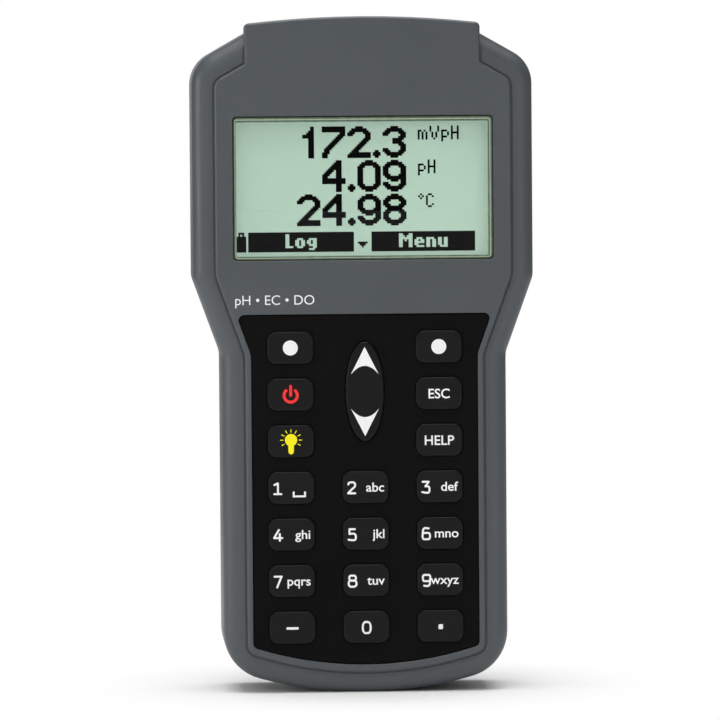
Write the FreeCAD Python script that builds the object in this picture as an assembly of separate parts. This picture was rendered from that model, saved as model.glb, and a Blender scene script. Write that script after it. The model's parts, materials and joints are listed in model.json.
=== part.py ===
# Handheld multiparameter water quality meter, standing upright, in millimetres.
# X runs to the right, Y from the front to the back and Z up; the origin is the middle of the underside.
import FreeCAD
import Part
import math
import os

Vector = FreeCAD.Vector

# Overall depth, from the key tops to the back
DEPTH = 35.2

# Body outline: the widest silhouette of both casings
BODY_HALF = 46.6
GRIP_HALF = 39.0
BODY_LOW_Z = -0.3
BODY_LOW_RADIUS = 107.0
BODY_LOW_CORNER = 13.2
WAIST_LOW_Z = 92.8
WAIST_RADIUS = 6.0
WAIST_ANGLE = 20.0
BODY_TOP_Z = 181.6
SHOULDER_DROP = 9.5
SHOULDER_ANGLE = 60.3
SHOULDER_RADIUS = 9.6
BODY_TOP_RADIUS = 6.0

# Raised front panel, which carries the window and the keypad and runs up into the hood
PANEL_MARGIN = 6.1
PANEL_LOW_MARGIN = 6.35
PANEL_LOW_Z = 5.6
PANEL_LOW_RADIUS = 97.0
PANEL_LOW_CORNER = 3.2
PANEL_SHOULDER_DROP = 14.1
PANEL_SHOULDER_RADIUS = 3.3
HOOD_HALF = 32.15
HOOD_RISE = 3.4
HOOD_TOP_RADIUS = 277.0
HOOD_CORNER = 1.4
HOOD_FOOT_RADIUS = 1.2
HOOD_DEPTH = 9.1
PANEL_STEP = 0.95
PANEL_EDGE_ROUND = 0.8
PANEL_GROOVE_WIDTH = 0.5
PANEL_GROOVE_DEPTH = 0.35

# Casing shells
WALL = 2.4
FRONT_WALL = 3.1
RIM_ROUND = 4.5
BACK_ROUND = 5.0
INNER_ROUND = 1.8
PARTING_FROM_FRONT = 16.1
CASING_GASKET_WIDTH = 0.8
CASING_GASKET_DEPTH = 0.8
CASING_GASKET_INSET = 0.8
SEAT_GAP = 0.05

# Display window, its seat and the display behind it
WINDOW_HALF_X = 35.6
WINDOW_LOW_Z = 118.5
WINDOW_HIGH_Z = 157.9
WINDOW_CORNER = 1.2
WINDOW_GAP = 0.3
WINDOW_SINK = 0.3
WINDOW_THICK = 1.5
WINDOW_CHAMFER = 0.15
WINDOW_GASKET_THICK = 0.4
WINDOW_LEDGE = 0.9
WINDOW_EDGE_ROUND = 0.25
LCD_FRAME_MARGIN = 1.3
LCD_FRAME_HEIGHT_MARGIN = 2.5
LCD_FRAME_SHEET = 0.4
LCD_FRAME_LIP = 0.3
LCD_GLASS_THICK = 1.7
LCD_LIGHT_THICK = 2.6
LCD_BOARD_THICK = 1.2
LCD_STRIP_WIDTH = 2.0
LCD_GAP = 0.2
LCD_RIB = 1.2
LCD_RIB_HEIGHT = 4.0

# Keypad panel and its recess
KEYPAD_HALF = 31.0
KEYPAD_LOW_Z = 7.7
KEYPAD_LOW_RADIUS = 99.0
KEYPAD_LOW_CORNER = 1.6
KEYPAD_TOP_Z = 103.8
KEYPAD_TOP_CORNER = 1.6
KEYPAD_SINK = 0.4
KEYPAD_THICK = 1.4
KEYPAD_GAP = 0.15
KEYPAD_LEDGE = 2.0
KEYPAD_EDGE_ROUND = 0.25
RECESS_EDGE_ROUND = 0.25

# Keys
KEY_WIDTH = 12.7
KEY_HEIGHT = 8.9
KEY_CORNER = 2.5
KEY_GAP = 0.15
KEY_STAND = 0.5
KEY_EDGE_ROUND = 0.55
KEY_TRAVEL = 0.6
KEY_COLUMN_PITCH = 20.3
KEY_ROW_PITCH = 12.77
KEY_TOP_ROW_Z = 94.7
KEY_FLANGE_MARGIN = 0.55
KEY_FLANGE_THICK = 0.7
KEY_FLANGE_GAP = 0.12
PLUNGER_RADIUS = 2.0
PLUNGER_REACH_GAP = 0.25

# Rocker with the two arrows
ROCKER_RISE = 0.67
ROCKER_HALF_X = 5.3
ROCKER_HALF_Z = 13.7
ROCKER_GAP_X = 0.2
ROCKER_GAP_Z = 0.3
ROCKER_EDGE_ROUND = 0.7
ROCKER_TILT = 2.5
ROCKER_SKIRT = 0.7
ROCKER_PIN_RADIUS = 0.9
ROCKER_PIN_PLAY = 0.06
ROCKER_PIN_DEPTH = 1.3
ROCKER_PIN_LENGTH = 4.2
ROCKER_HUB_HALF_X = 4.6
ROCKER_HUB_HALF_Z = 2.4
ROCKER_PLUNGER_Z = 9.0
ROCKER_PLUNGER_RADIUS = 1.6
SADDLE_WIDTH = 2.0
SADDLE_HALF_Z = 2.2
SADDLE_WALL = 1.0

# Key mat of silicone rubber and the snap domes on the board
MAT_THICK = 1.0
MAT_MARGIN = 5.4
COLLAR_LOW_RADIUS = 4.3
COLLAR_TOP_RADIUS = 3.2
COLLAR_WALL = 0.8
COLLAR_TOP_GAP = 0.15
DOME_LOW_RADIUS = 2.6
DOME_TOP_RADIUS = 1.2
DOME_HEIGHT = 0.3

# Main board and what it carries
BOARD_THICK = 1.6
BOARD_GAP = 0.6
BOARD_TOP_GAP = 1.5
BUZZER_RADIUS = 6.0
BUZZER_HEIGHT = 3.0
BUZZER_HOLE_RADIUS = 1.2
BUZZER_X = -22.0
BUZZER_Z = 124.0

# Bosses and screws that hold the casings together
BOSS_PLACES = ((31.0, 13.5), (34.5, 100.0), (39.0, 165.0))
FRONT_BOSS_RADIUS = 2.9
BOSS_STEP_RADIUS = 3.9
REAR_BOSS_RADIUS = 3.6
BOSS_PILOT_RADIUS = 1.3
BOSS_PILOT_FLOOR = 1.5
SCREW_RADIUS = 1.25
SCREW_TIP_GAP = 1.0
SCREW_HOLE_RADIUS = 1.5
SCREW_HEAD_RADIUS = 2.4
SCREW_HEAD_HEIGHT = 1.9
SCREW_WELL_RADIUS = 2.6
SCREW_SEAT_DEPTH = 11.6
SCREW_SLOT_WIDTH = 0.6
SCREW_SLOT_DEPTH = 0.8
# Half the length of a screw's slot as a share of its head's radius
SCREW_SLOT_REACH = 0.6

# Cells, their bay and the battery cover
CELL_RADIUS = 7.25
CELL_LENGTH = 48.5
CELL_EDGE_CHAMFER = 0.6
CELL_NUB_RADIUS = 2.75
CELL_NUB_HEIGHT = 1.5
CELL_COUNT = 4
CELL_SPACE = 0.3
BAY_LOW_Z = 28.5
BAY_END_ROOM = 2.6
BAY_WALL = 1.6
BAY_CORNER = 1.5
CONTACT_THICK = 0.4
SPRING_THICK = 0.3
CONTACT_WIDTH = 8.0
COVER_THICK = 2.3
COVER_GAP = 0.25
COVER_LIFT = 0.1
COVER_CORNER = 4.0
COVER_SIDE_MARGIN = 2.4
COVER_END_MARGIN = 8.5
COVER_FLOOR = 2.4
COVER_LIP_HEIGHT = 1.2
COVER_LIP_WIDTH = 1.2
COVER_LIP_GAP = 0.3
COVER_EDGE_ROUND = 0.4
COVER_GASKET_WIDTH = 1.0
COVER_GASKET_DEPTH = 0.8
COVER_SCREW_X = 22.0
COVER_SCREW_EDGE = 4.4
COVER_SCREW_RADIUS = 1.25
COVER_SCREW_PLAY = 0.2
COVER_SCREW_HEAD_RADIUS = 2.6
COVER_SCREW_HEAD_HEIGHT = 1.3
COVER_SCREW_SINK = 0.15
COVER_SCREW_LENGTH = 6.5
INSERT_RADIUS = 2.1
INSERT_LENGTH = 4.5
INSERT_BOSS_RADIUS = 3.1
INSERT_BOSS_LENGTH = 8.0

# Stiffening ribs on the inside of the back wall
REAR_RIB_X = 16.0
REAR_RIB_RISE = 2.5
REAR_RIB_HALF = 0.6

# Pocket behind the hood, with the connector panel as its floor
POCKET_HALF = 26.0
POCKET_DEPTH = 21.0
POCKET_CORNER = 3.0
POCKET_LIP = 2.0
PLATE_TOP_Z = 170.0
PLATE_THICK = 2.5
PLATE_TONGUE = 1.0
PLATE_PLAY = 0.05
PLATE_SEAL_THICK = 0.5
PLATE_SEAL_WIDTH = 1.6

# Probe socket
PROBE_X = -8.0
PROBE_COLLAR_RADIUS = 8.0
PROBE_COLLAR_HEIGHT = 7.5
PROBE_FLANGE_RADIUS = 9.2
PROBE_FLANGE_THICK = 1.2
PROBE_SHANK_RADIUS = 6.9
PROBE_HOLE_PLAY = 0.1
PROBE_BORE_RADIUS = 5.8
PROBE_STEP_RADIUS = 5.0
PROBE_STEP_DROP = 1.0
PROBE_SHANK_LENGTH = 5.6
PROBE_SEAL_THICK = 0.6
PROBE_SEAL_WIDTH = 1.6
PROBE_NUT_FLATS = 17.0
PROBE_NUT_THICK = 2.2
PROBE_INSERT_RISE = 3.5
PROBE_INSERT_DROP = 0.9
PROBE_PIN_COUNT = 6
PROBE_PIN_CIRCLE = 3.4
PROBE_PIN_RADIUS = 0.5
PROBE_PIN_RISE = 3.4
PROBE_PIN_PLAY = 0.02
PROBE_KEY_WIDTH = 1.4
PROBE_KEY_DEPTH = 0.7

# USB socket, its rubber cap and the board under both sockets
USB_X = 13.6
USB_HALF_X = 3.9
USB_HALF_Y = 1.4
USB_SHEET = 0.3
USB_CORNER = 1.0
USB_INNER_CORNER = 0.7
USB_TOP_DROP = 1.4
USB_TONGUE_HALF_X = 3.0
USB_TONGUE_HALF_Y = 0.35
USB_BASE_HEIGHT = 1.5
USB_MOUTH_HALF_X = 4.6
USB_MOUTH_HALF_Y = 2.2
CAP_HALF_X = 6.2
CAP_HALF_Y = 3.9
CAP_THICK = 1.75
CAP_EDGE_ROUND = 0.45
CAP_LIFT = 0.15
CAP_PLUG_GAP = 0.3
CAP_PLUG_DEPTH = 1.1
CAP_STRAP_THICK = 0.9
CAP_STRAP_HALF_Y = 2.0
CAP_STRAP_LENGTH = 1.2
CAP_HINGE_GAP = 0.15
CAP_BEAD_RADIUS = 0.12
ANCHOR_PIN_RADIUS = 1.1
ANCHOR_PIN_PLAY = 0.05
SOCKET_BOARD_THICK = 1.6
SOCKET_BOARD_DROP = 7.5
SOCKET_BOARD_MARGIN = 2.6
SOCKET_BOARD_CORNER = 1.0

# Places along Y that follow from the sizes above
KEY_TOP_Y = -DEPTH / 2
BACK_Y = DEPTH / 2
FACE_Y = KEY_TOP_Y + KEY_STAND
RIM_Y = FACE_Y + PANEL_STEP
HOOD_BACK_Y = FACE_Y + HOOD_DEPTH
INNER_Y = FACE_Y + FRONT_WALL
PARTING_Y = KEY_TOP_Y + PARTING_FROM_FRONT
KEYPAD_Y = FACE_Y + KEYPAD_SINK
KEYPAD_BACK_Y = KEYPAD_Y + KEYPAD_THICK
WINDOW_Y = FACE_Y + WINDOW_SINK
WINDOW_BACK_Y = WINDOW_Y + WINDOW_THICK
WINDOW_LEDGE_Y = WINDOW_BACK_Y + WINDOW_GASKET_THICK
LCD_GLASS_Y = INNER_Y + LCD_FRAME_LIP
LCD_LIGHT_Y = LCD_GLASS_Y + LCD_GLASS_THICK
LCD_BOARD_Y = LCD_LIGHT_Y + LCD_LIGHT_THICK
BOARD_Y = LCD_BOARD_Y + LCD_BOARD_THICK + LCD_GAP
BOARD_BACK_Y = BOARD_Y + BOARD_THICK
DOME_Y = BOARD_Y - DOME_HEIGHT
PLUNGER_TIP_Y = DOME_Y - KEY_TRAVEL - PLUNGER_REACH_GAP
FLANGE_Y = KEYPAD_BACK_Y + KEY_FLANGE_GAP
FLANGE_BACK_Y = FLANGE_Y + KEY_FLANGE_THICK
COLLAR_TOP_Y = FLANGE_BACK_Y + KEY_TRAVEL + COLLAR_TOP_GAP
ROCKER_AXIS_Y = KEYPAD_BACK_Y + ROCKER_PIN_DEPTH
COVER_Y = BACK_Y - COVER_THICK
COVER_SEAT_Y = COVER_Y - COVER_LIFT
CELL_Y = COVER_SEAT_Y - COVER_LIP_HEIGHT - CELL_SPACE - CELL_RADIUS
BAY_FLOOR_Y = CELL_Y - CELL_RADIUS - CELL_SPACE
SCREW_SEAT_Y = BACK_Y - SCREW_SEAT_DEPTH

# Places along X and Z that follow from the sizes above
SHOULDER_Z = BODY_TOP_Z - SHOULDER_DROP
PANEL_SHOULDER_Z = BODY_TOP_Z - PANEL_SHOULDER_DROP
HOOD_TOP_Z = BODY_TOP_Z + HOOD_RISE
PANEL_HALF = BODY_HALF - PANEL_MARGIN
PANEL_GRIP_HALF = GRIP_HALF - PANEL_LOW_MARGIN
WINDOW_Z = (WINDOW_LOW_Z + WINDOW_HIGH_Z) / 2
WINDOW_HALF_Z = (WINDOW_HIGH_Z - WINDOW_LOW_Z) / 2
LCD_HALF_X = WINDOW_HALF_X + LCD_FRAME_MARGIN
LCD_HALF_Z = WINDOW_HALF_Z + LCD_FRAME_HEIGHT_MARGIN
ROCKER_Z = KEY_TOP_ROW_Z - KEY_ROW_PITCH + ROCKER_RISE
BAY_HALF = CELL_COUNT * CELL_RADIUS + CELL_SPACE * 2
BAY_HIGH_Z = BAY_LOW_Z + CELL_LENGTH + CELL_NUB_HEIGHT + 2 * BAY_END_ROOM
COVER_HALF = BAY_HALF + COVER_SIDE_MARGIN
COVER_LOW_Z = BAY_LOW_Z - COVER_END_MARGIN
COVER_HIGH_Z = BAY_HIGH_Z + COVER_END_MARGIN
PLATE_Z = PLATE_TOP_Z - PLATE_THICK
PLATE_SEAT_Z = PLATE_Z - PLATE_SEAL_THICK
TUB_LOW_Z = PLATE_SEAT_Z - POCKET_LIP
POCKET_Y = HOOD_BACK_Y + POCKET_DEPTH / 2
PROBE_FLANGE_Z = PLATE_TOP_Z + PROBE_SEAL_THICK
PROBE_COLLAR_Z = PROBE_FLANGE_Z + PROBE_FLANGE_THICK
PROBE_TOP_Z = PROBE_COLLAR_Z + PROBE_COLLAR_HEIGHT
PROBE_STEP_Z = PLATE_TOP_Z - PROBE_STEP_DROP
PROBE_SHANK_Z = PLATE_TOP_Z - PROBE_SHANK_LENGTH
PROBE_INSERT_TOP_Z = PROBE_STEP_Z + PROBE_INSERT_RISE
SOCKET_BOARD_Z = PLATE_TOP_Z - SOCKET_BOARD_DROP
CAP_Z = PLATE_TOP_Z + CAP_LIFT
CAP_HINGE_X = USB_X + CAP_HALF_X + CAP_STRAP_LENGTH
CAP_HINGE_Z = CAP_Z + CAP_STRAP_THICK

# Column and row of every key; columns count from the middle, rows from the top
KEY_PLACES = {
    "key_soft_left": (-1, 0),
    "key_soft_right": (1, 0),
    "key_power": (-1, 1),
    "key_escape": (1, 1),
    "key_lamp": (-1, 2),
    "key_help": (1, 2),
    "key_1": (-1, 3),
    "key_2": (0, 3),
    "key_3": (1, 3),
    "key_4": (-1, 4),
    "key_5": (0, 4),
    "key_6": (1, 4),
    "key_7": (-1, 5),
    "key_8": (0, 5),
    "key_9": (1, 5),
    "key_minus": (-1, 6),
    "key_0": (0, 6),
    "key_point": (1, 6),
}

# Length of cutting tools beyond the face that they open
OVER = 5.0
# Distance within which two coordinates count as one
SAME = 1e-4
# The smallest corner radius that is worth making
LEAST_RADIUS = 0.05


def key_centre(name):
    """Return the X and Z of a key's centre."""
    column, row = KEY_PLACES[name]
    return column * KEY_COLUMN_PITCH, KEY_TOP_ROW_Z - row * KEY_ROW_PITCH


def solid_of(shape):
    """Return the one solid that a boolean operation leaves, with its split faces merged."""
    return shape.removeSplitter().Solids[0]


def join(first, others):
    """Fuse the others to the first shape."""
    result = first
    for other in others:
        result = result.fuse(other)
    return solid_of(result)


def remove(first, tools):
    """Cut the tools from the first shape."""
    return solid_of(first.cut(tools))


def block(x_range, y_range, z_range):
    """Return a plain block between three pairs of coordinates."""
    low = Vector(x_range[0], y_range[0], z_range[0])
    size = Vector(x_range[1], y_range[1], z_range[1]) - low
    return Part.makeBox(size.x, size.y, size.z, low)


def rounded_wire(half_u, half_v, radius, place):
    """Return a rounded rectangle; place turns its two coordinates into a point."""
    bend = radius * (1 - math.sqrt(0.5))
    edges = []
    corners = ((1, 1), (-1, 1), (-1, -1), (1, -1))
    for index, (sign_u, sign_v) in enumerate(corners):
        level = place(sign_u * half_u, sign_v * (half_v - radius))
        middle = place(sign_u * (half_u - bend), sign_v * (half_v - bend))
        upright = place(sign_u * (half_u - radius), sign_v * half_v)
        first, last = (level, upright) if sign_u == sign_v else (upright, level)
        edges.append(Part.Arc(first, middle, last).toShape())
        next_u, next_v = corners[(index + 1) % 4]
        if sign_v == next_v:
            follow = place(next_u * (half_u - radius), next_v * half_v)
        else:
            follow = place(next_u * half_u, next_v * (half_v - radius))
        if (last - follow).Length > SAME:
            edges.append(Part.LineSegment(last, follow).toShape())
    return Part.Wire(edges)


def plate(centre, half_x, half_z, radius, y_range):
    """Return a plate with rounded corners that faces the front; centre is its X and Z."""
    def place(u, v):
        return Vector(centre[0] + u, y_range[0], centre[1] + v)
    face = Part.Face(rounded_wire(half_x, half_z, radius, place))
    return face.extrude(Vector(0, y_range[1] - y_range[0], 0))


def column(centre, half_x, half_y, radius, z_range):
    """Return an upright column with a rounded rectangular section; centre is its X and Y."""
    def place(u, v):
        return Vector(centre[0] + u, centre[1] + v, z_range[0])
    face = Part.Face(rounded_wire(half_x, half_y, radius, place))
    return face.extrude(Vector(0, 0, z_range[1] - z_range[0]))


def rod_y(centre, radius, y_range):
    """Return a round rod along Y; centre is its X and Z."""
    start = Vector(centre[0], y_range[0], centre[1])
    return Part.makeCylinder(radius, y_range[1] - y_range[0], start, Vector(0, 1, 0))


def rod_z(centre, radius, z_range):
    """Return a round rod along Z; centre is its X and Y."""
    start = Vector(centre[0], centre[1], z_range[0])
    return Part.makeCylinder(radius, z_range[1] - z_range[0], start, Vector(0, 0, 1))


def edges_at_y(shape, y):
    """Return the edges that lie in one plane square to Y."""
    return [edge for edge in shape.Edges
            if abs(edge.BoundBox.YMin - y) < SAME * 10 and abs(edge.BoundBox.YMax - y) < SAME * 10]


def edges_at_z(shape, z):
    """Return the edges that lie in one plane square to Z."""
    return [edge for edge in shape.Edges
            if abs(edge.BoundBox.ZMin - z) < SAME * 10 and abs(edge.BoundBox.ZMax - z) < SAME * 10]


def mirrored(places):
    """Return every place with its mirror image across the middle plane."""
    return [(side * x, z) for x, z in places for side in (1, -1)]


class Outline:
    """A closed outline in the XZ plane, symmetric about the middle.

    The corners of its right-hand half run from the bottom to the top as (x, z, radius). The bottom edge is an
    arc through its lowest point; the top edge is an arc if it has a radius, and otherwise level.
    """

    def __init__(self, low_z, low_radius, corners, top_z, top_radius=0.0):
        self.low_z = low_z
        self.low_radius = low_radius
        self.corners = corners
        self.top_z = top_z
        self.top_radius = top_radius

    def low_edge_z(self, x, inset):
        """Return the height of the bottom arc at x."""
        radius = self.low_radius - inset
        return self.low_z + self.low_radius - math.sqrt(radius ** 2 - x ** 2)

    def top_edge_z(self, x, inset):
        """Return the height of the top edge at x."""
        if not self.top_radius:
            return self.top_z - inset
        radius = self.top_radius - inset
        return self.top_z - self.top_radius + math.sqrt(radius ** 2 - x ** 2)

    def sides(self, inset):
        """Return the straight sides as (point, direction), moved inwards."""
        lines = []
        for (x0, z0, _), (x1, z1, _) in zip(self.corners, self.corners[1:]):
            length = math.hypot(x1 - x0, z1 - z0)
            dx, dz = (x1 - x0) / length, (z1 - z0) / length
            lines.append(((x0 - dz * inset, z0 + dx * inset), (dx, dz)))
        return lines

    def half_points(self, inset):
        """Return the corner points of the right-hand half, moved inwards."""
        lines = self.sides(inset)
        (x_first, _), _ = lines[0]
        points = [(x_first, self.low_edge_z(x_first, inset))]
        for ((ax, az), (adx, adz)), ((bx, bz), (bdx, bdz)) in zip(lines, lines[1:]):
            turn = adx * bdz - adz * bdx
            step = ((bx - ax) * bdz - (bz - az) * bdx) / turn
            points.append((ax + adx * step, az + adz * step))
        (x_last, z_last), (dx, dz) = lines[-1]
        if self.top_radius:
            points.append((x_last, self.top_edge_z(x_last, inset)))
        else:
            z_top = self.top_edge_z(0, inset)
            points.append((x_last + dx * (z_top - z_last) / dz, z_top))
        return points

    def corner_radii(self, inset):
        """Return the radius of every corner; an outward corner gets smaller inwards, an inward one larger."""
        directions = [(1.0, 0.0)] + [direction for _, direction in self.sides(0)] + [(-1.0, 0.0)]
        radii = []
        for (_, _, radius), (adx, adz), (bdx, bdz) in zip(self.corners, directions, directions[1:]):
            outward = adx * bdz - adz * bdx > 0
            radii.append(max(radius - inset, LEAST_RADIUS) if outward else radius + inset)
        return radii

    def bends(self, inset):
        """Return the start, middle and end of the arc at every corner of the right-hand half."""
        points = self.half_points(inset)
        radii = self.corner_radii(inset)
        directions = [direction for _, direction in self.sides(inset)] + [(-1.0, 0.0)]
        arcs = [arc_corner(points[0][0], radii[0], self.low_z + self.low_radius, self.low_radius - inset, -1)]
        for point, radius, ahead, after in zip(points[1:], radii[1:], directions, directions[1:]):
            arcs.append(line_corner(point, radius, ahead, after))
        if self.top_radius:
            centre_z = self.top_z - self.top_radius
            start, middle, end = arc_corner(points[-1][0], radii[-1], centre_z, self.top_radius - inset, 1)
            arcs[-1] = (end, middle, start)
        return arcs

    def prism(self, y_range, inset=0.0):
        """Return the outline as a solid between two planes square to Y."""
        y = y_range[0]
        right = [tuple(Vector(x, y, z) for x, z in arc) for arc in self.bends(inset)]
        left = [tuple(Vector(-p.x, y, p.z) for p in reversed(arc)) for arc in reversed(right)]
        edges = []
        chain = right + left
        for index, arc in enumerate(chain):
            edges.append(Part.Arc(*arc).toShape())
            start = arc[2]
            end = chain[(index + 1) % len(chain)][0]
            if index == len(chain) - 1:
                edges.append(Part.Arc(start, Vector(0, y, self.low_edge_z(0, inset)), end).toShape())
            elif index == len(right) - 1 and self.top_radius:
                edges.append(Part.Arc(start, Vector(0, y, self.top_edge_z(0, inset)), end).toShape())
            else:
                edges.append(Part.LineSegment(start, end).toShape())
        return Part.Face(Part.Wire(edges)).extrude(Vector(0, y_range[1] - y, 0))

    def ring(self, y_range, inset, width):
        """Return a closed band of the given width that starts at an inset from the outline."""
        return self.prism(y_range, inset).cut(self.prism(y_range, inset + width)).Solids[0]


def arc_corner(x, radius, centre_z, arc_radius, side):
    """Round the corner between a shallow arc about the middle plane and an upright side.

    Side is -1 for a bottom arc and 1 for a top arc. Returns the start on the arc, the middle and the end on the
    upright side.
    """
    cx = x - radius
    cz = centre_z + side * math.sqrt((arc_radius - radius) ** 2 - cx ** 2)
    reach = arc_radius / (arc_radius - radius)
    start = (cx * reach, centre_z + (cz - centre_z) * reach)
    end = (x, cz)
    mx, mz = (start[0] + end[0]) / 2 - cx, (start[1] + end[1]) / 2 - cz
    scale = radius / math.hypot(mx, mz)
    return start, (cx + mx * scale, cz + mz * scale), end


def line_corner(point, radius, ahead, after):
    """Round the corner between two straight sides; returns the start, middle and end of the arc."""
    turn = math.atan2(ahead[0] * after[1] - ahead[1] * after[0], ahead[0] * after[0] + ahead[1] * after[1])
    length = radius * math.tan(abs(turn) / 2)
    start = (point[0] - ahead[0] * length, point[1] - ahead[1] * length)
    end = (point[0] + after[0] * length, point[1] + after[1] * length)
    side = math.copysign(radius, turn)
    cx, cz = start[0] - ahead[1] * side, start[1] + ahead[0] * side
    away = math.hypot(point[0] - cx, point[1] - cz)
    return start, (cx + (point[0] - cx) * radius / away, cz + (point[1] - cz) * radius / away), end


def waist_top_z(low_half, high_half):
    """Return the height at which the waist's slope, which starts at the grip, reaches the upper width."""
    return WAIST_LOW_Z + (high_half - low_half) / math.tan(math.radians(WAIST_ANGLE))


def body_outline():
    """Return the outline of both casings."""
    slope = math.tan(math.radians(90 - SHOULDER_ANGLE))
    top_corner_x = BODY_HALF - (BODY_TOP_Z - SHOULDER_Z) / slope
    return Outline(BODY_LOW_Z, BODY_LOW_RADIUS, (
        (GRIP_HALF, 0.0, BODY_LOW_CORNER),
        (GRIP_HALF, WAIST_LOW_Z, WAIST_RADIUS),
        (BODY_HALF, waist_top_z(GRIP_HALF, BODY_HALF), WAIST_RADIUS),
        (BODY_HALF, SHOULDER_Z, SHOULDER_RADIUS),
        (top_corner_x, BODY_TOP_Z, BODY_TOP_RADIUS),
    ), BODY_TOP_Z)


def panel_outline():
    """Return the outline of the raised front panel and the hood above it."""
    slope = math.tan(math.radians(90 - SHOULDER_ANGLE))
    hood_foot_z = PANEL_SHOULDER_Z + (PANEL_HALF - HOOD_HALF) * slope
    return Outline(PANEL_LOW_Z, PANEL_LOW_RADIUS, (
        (PANEL_GRIP_HALF, 0.0, PANEL_LOW_CORNER),
        (PANEL_GRIP_HALF, WAIST_LOW_Z, WAIST_RADIUS),
        (PANEL_HALF, waist_top_z(PANEL_GRIP_HALF, PANEL_HALF), WAIST_RADIUS),
        (PANEL_HALF, PANEL_SHOULDER_Z, PANEL_SHOULDER_RADIUS),
        (HOOD_HALF, hood_foot_z, HOOD_FOOT_RADIUS),
        (HOOD_HALF, HOOD_TOP_Z, HOOD_CORNER),
    ), HOOD_TOP_Z, HOOD_TOP_RADIUS)


def keypad_outline():
    """Return the outline of the keypad's recess in the raised panel."""
    slope = math.tan(math.radians(WAIST_ANGLE))
    top_half = KEYPAD_HALF + (KEYPAD_TOP_Z - WAIST_LOW_Z) * slope
    return Outline(KEYPAD_LOW_Z, KEYPAD_LOW_RADIUS, (
        (KEYPAD_HALF, 0.0, KEYPAD_LOW_CORNER),
        (KEYPAD_HALF, WAIST_LOW_Z, WAIST_RADIUS),
        (top_half, KEYPAD_TOP_Z, KEYPAD_TOP_CORNER),
    ), KEYPAD_TOP_Z)


BODY = body_outline()
PANEL = panel_outline()
KEYPAD = keypad_outline()


def underside_cut():
    """Return the tool that gives the bottom its short flat to stand on."""
    return block((-BODY_HALF, BODY_HALF), (-DEPTH, DEPTH), (-OVER, 0))


def pocket_tool(margin, z_range):
    """Return the pocket's section as a column, widened by a margin."""
    half_y = POCKET_DEPTH / 2 + margin
    return column((0, POCKET_Y), POCKET_HALF + margin, half_y, POCKET_CORNER + margin, z_range)


def pocket_walls(outer, y_range):
    """Return the walls round the pocket that belong to one casing."""
    walls = pocket_tool(WALL, (TUB_LOW_Z, HOOD_TOP_Z + OVER))
    half = block((-BODY_HALF, BODY_HALF), y_range, (0, HOOD_TOP_Z + OVER))
    return walls.common(half).common(outer)


def pocket_cuts():
    """Return the tools that open the pocket and the groove which holds the connector panel."""
    opening = pocket_tool(0, (TUB_LOW_Z - OVER, HOOD_TOP_Z + OVER))
    groove = pocket_tool(PLATE_TONGUE, (PLATE_SEAT_Z, PLATE_TOP_Z + PLATE_PLAY))
    return [opening, groove]


def gasket_band(y_range, play):
    """Return the band of the casing gasket, or with a play the groove that it lies in."""
    width = CASING_GASKET_WIDTH + 2 * play
    outer = BODY.ring(y_range, CASING_GASKET_INSET - play, width)
    inner_x = POCKET_HALF + PLATE_TONGUE + SEAT_GAP * 4 - play
    legs = []
    for side in (-1, 1):
        xs = sorted((side * inner_x, side * (inner_x + width)))
        legs.append(block(xs, y_range, (TUB_LOW_Z + SEAT_GAP * 4 - play, BODY_TOP_Z - CASING_GASKET_INSET)))
    middle = block((-inner_x, inner_x), (y_range[0] - OVER, y_range[1] + OVER), (TUB_LOW_Z, HOOD_TOP_Z))
    return solid_of(outer.cut(middle).fuse(legs))


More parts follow.
